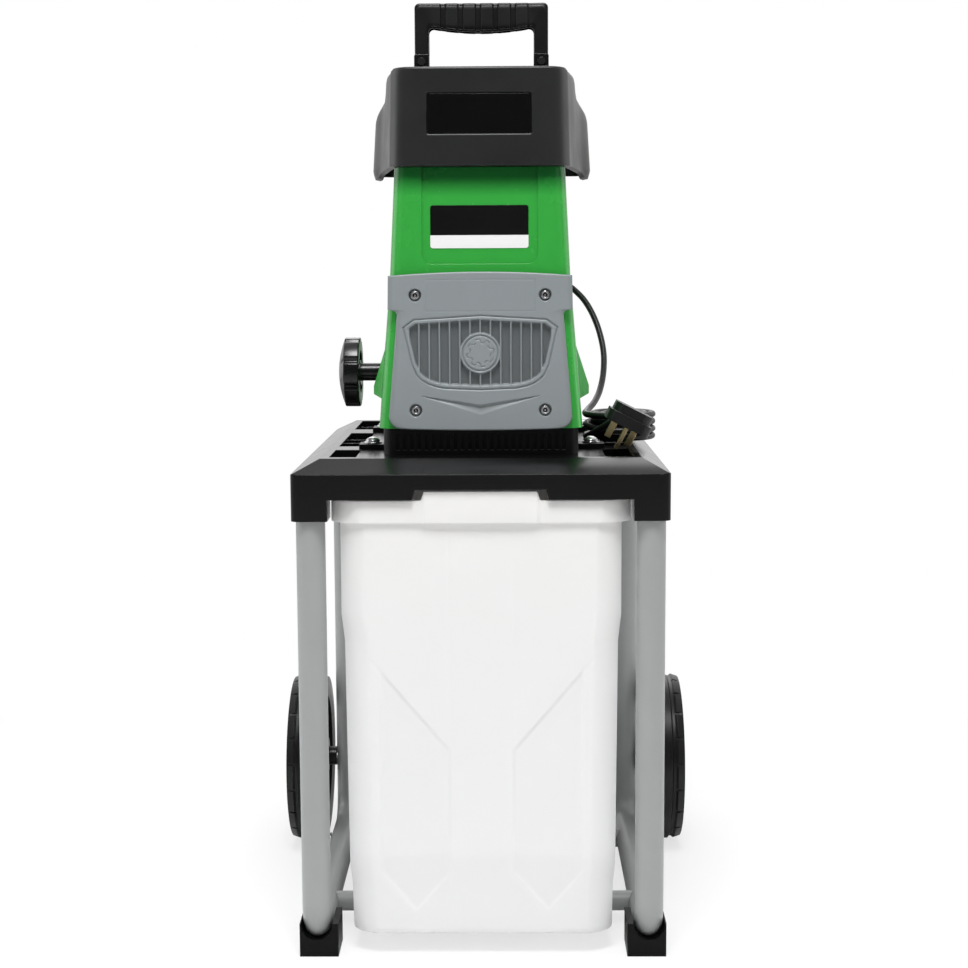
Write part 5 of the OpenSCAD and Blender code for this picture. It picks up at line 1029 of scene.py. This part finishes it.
def soft_lamp(name, at, aim, size, watts):
    """A square lamp of a given side that faces its aim."""
    data = bpy.data.lights.new(name, "AREA")
    data.shape, data.size, data.energy = "SQUARE", size, watts
    lamp = bpy.data.objects.new(name, data)
    scene.collection.objects.link(lamp)
    lamp.location = at
    lamp.rotation_euler = (Vector(aim) - Vector(at)).to_track_quat("-Z", "Y").to_euler()


def seen_rays(tree):
    """1 for camera and transmitted rays, 0 for mirrored rays and for light that falls on surfaces."""
    path = put(tree, "ShaderNodeLightPath").outputs
    seen = put(tree, "ShaderNodeMath", {
        0: path["Is Camera Ray"], 1: path["Is Transmission Ray"]}, operation="MAXIMUM")
    return seen.outputs["Value"]


def white_room(fill=0.27, before=0.04, behind=1.0):
    """A white surround, of strength 1 where it is seen and of strength fill where it lights.

    Where it is mirrored it goes from before, ahead of the object, to behind, at its back.
    """
    world = bpy.data.worlds.new("white_room")
    scene.world = world
    world.use_nodes = True
    tree = world.node_tree
    way = put(tree, "ShaderNodeTexCoord").outputs["Object"]
    back = put(tree, "ShaderNodeSeparateXYZ", {0: way}).outputs["Y"]
    mirror = put(tree, "ShaderNodeMapRange", {
        "Value": back, "From Min": -0.4, "From Max": 0.4, "To Min": before, "To Max": behind})
    glossy = put(tree, "ShaderNodeLightPath").outputs["Is Glossy Ray"]
    unseen = put(tree, "ShaderNodeMapRange", {
        "Value": glossy, "To Min": fill, "To Max": mirror.outputs["Result"]})
    strength = put(tree, "ShaderNodeMapRange", {
        "Value": seen_rays(tree), "To Min": unseen.outputs["Result"], "To Max": 1.0})
    room = tree.nodes["Background"]
    room.inputs["Color"].default_value = (1.0, 1.0, 1.0, 1.0)
    tree.links.new(strength.outputs["Result"], room.inputs["Strength"])


def pale_floor(half=6.0, keep=0.3, near=0.45, far=1.0):
    """A wide flat floor: white where seen, and darkened by its shadows.

    The share of shadow that is kept fades out between the distances near and far.
    """
    corners = np.array([[[-half, -half, 0], [half, -half, 0]], [[-half, half, 0], [half, half, 0]]]) / MM
    floor = skin("floor", corners)
    material = bpy.data.materials.new("pale_floor")
    material.use_nodes = True
    tree = material.node_tree
    paint = tree.nodes["Principled BSDF"]
    paint.inputs["Base Color"].default_value = (0.9, 0.9, 0.9, 1.0)
    paint.inputs["Roughness"].default_value = 0.9
    glow = put(tree, "ShaderNodeEmission", {"Color": (1.0, 1.0, 1.0, 1.0), "Strength": 1.0})
    place = put(tree, "ShaderNodeTexCoord").outputs["Object"]
    away = put(tree, "ShaderNodeVectorMath", {0: place}, operation="LENGTH")
    white = put(tree, "ShaderNodeMapRange", {
        "Value": away.outputs["Value"], "From Min": near, "From Max": far, "To Min": 1 - keep, "To Max": 1.0})
    share = put(tree, "ShaderNodeMath", {
        0: seen_rays(tree), 1: white.outputs["Result"]}, operation="MULTIPLY")
    mixed = put(tree, "ShaderNodeMixShader", {
        0: share.outputs["Value"], 1: paint.outputs["BSDF"], 2: glow.outputs["Emission"]})
    tree.links.new(mixed.outputs["Shader"], tree.nodes["Material Output"].inputs["Surface"])
    dress(floor, material)


MIDDLE = (0.0, 0.0, 0.5)
soft_lamp("above", (0.0, -1.2, 2.9), MIDDLE, 0.9, 76)
soft_lamp("front_left", (-2.4, -2.4, 1.7), MIDDLE, 1.6, 6)
soft_lamp("front_right", (2.4, -2.4, 1.7), MIDDLE, 1.6, 6)
soft_lamp("left", (-2.3, 0.2, 1.2), MIDDLE, 1.6, 18)
soft_lamp("right", (2.3, 0.2, 1.2), MIDDLE, 1.6, 12)
soft_lamp("behind", (0.0, 2.6, 2.2), MIDDLE, 2.0, 24)
white_room()
pale_floor()
scene.view_settings.view_transform = "Standard"
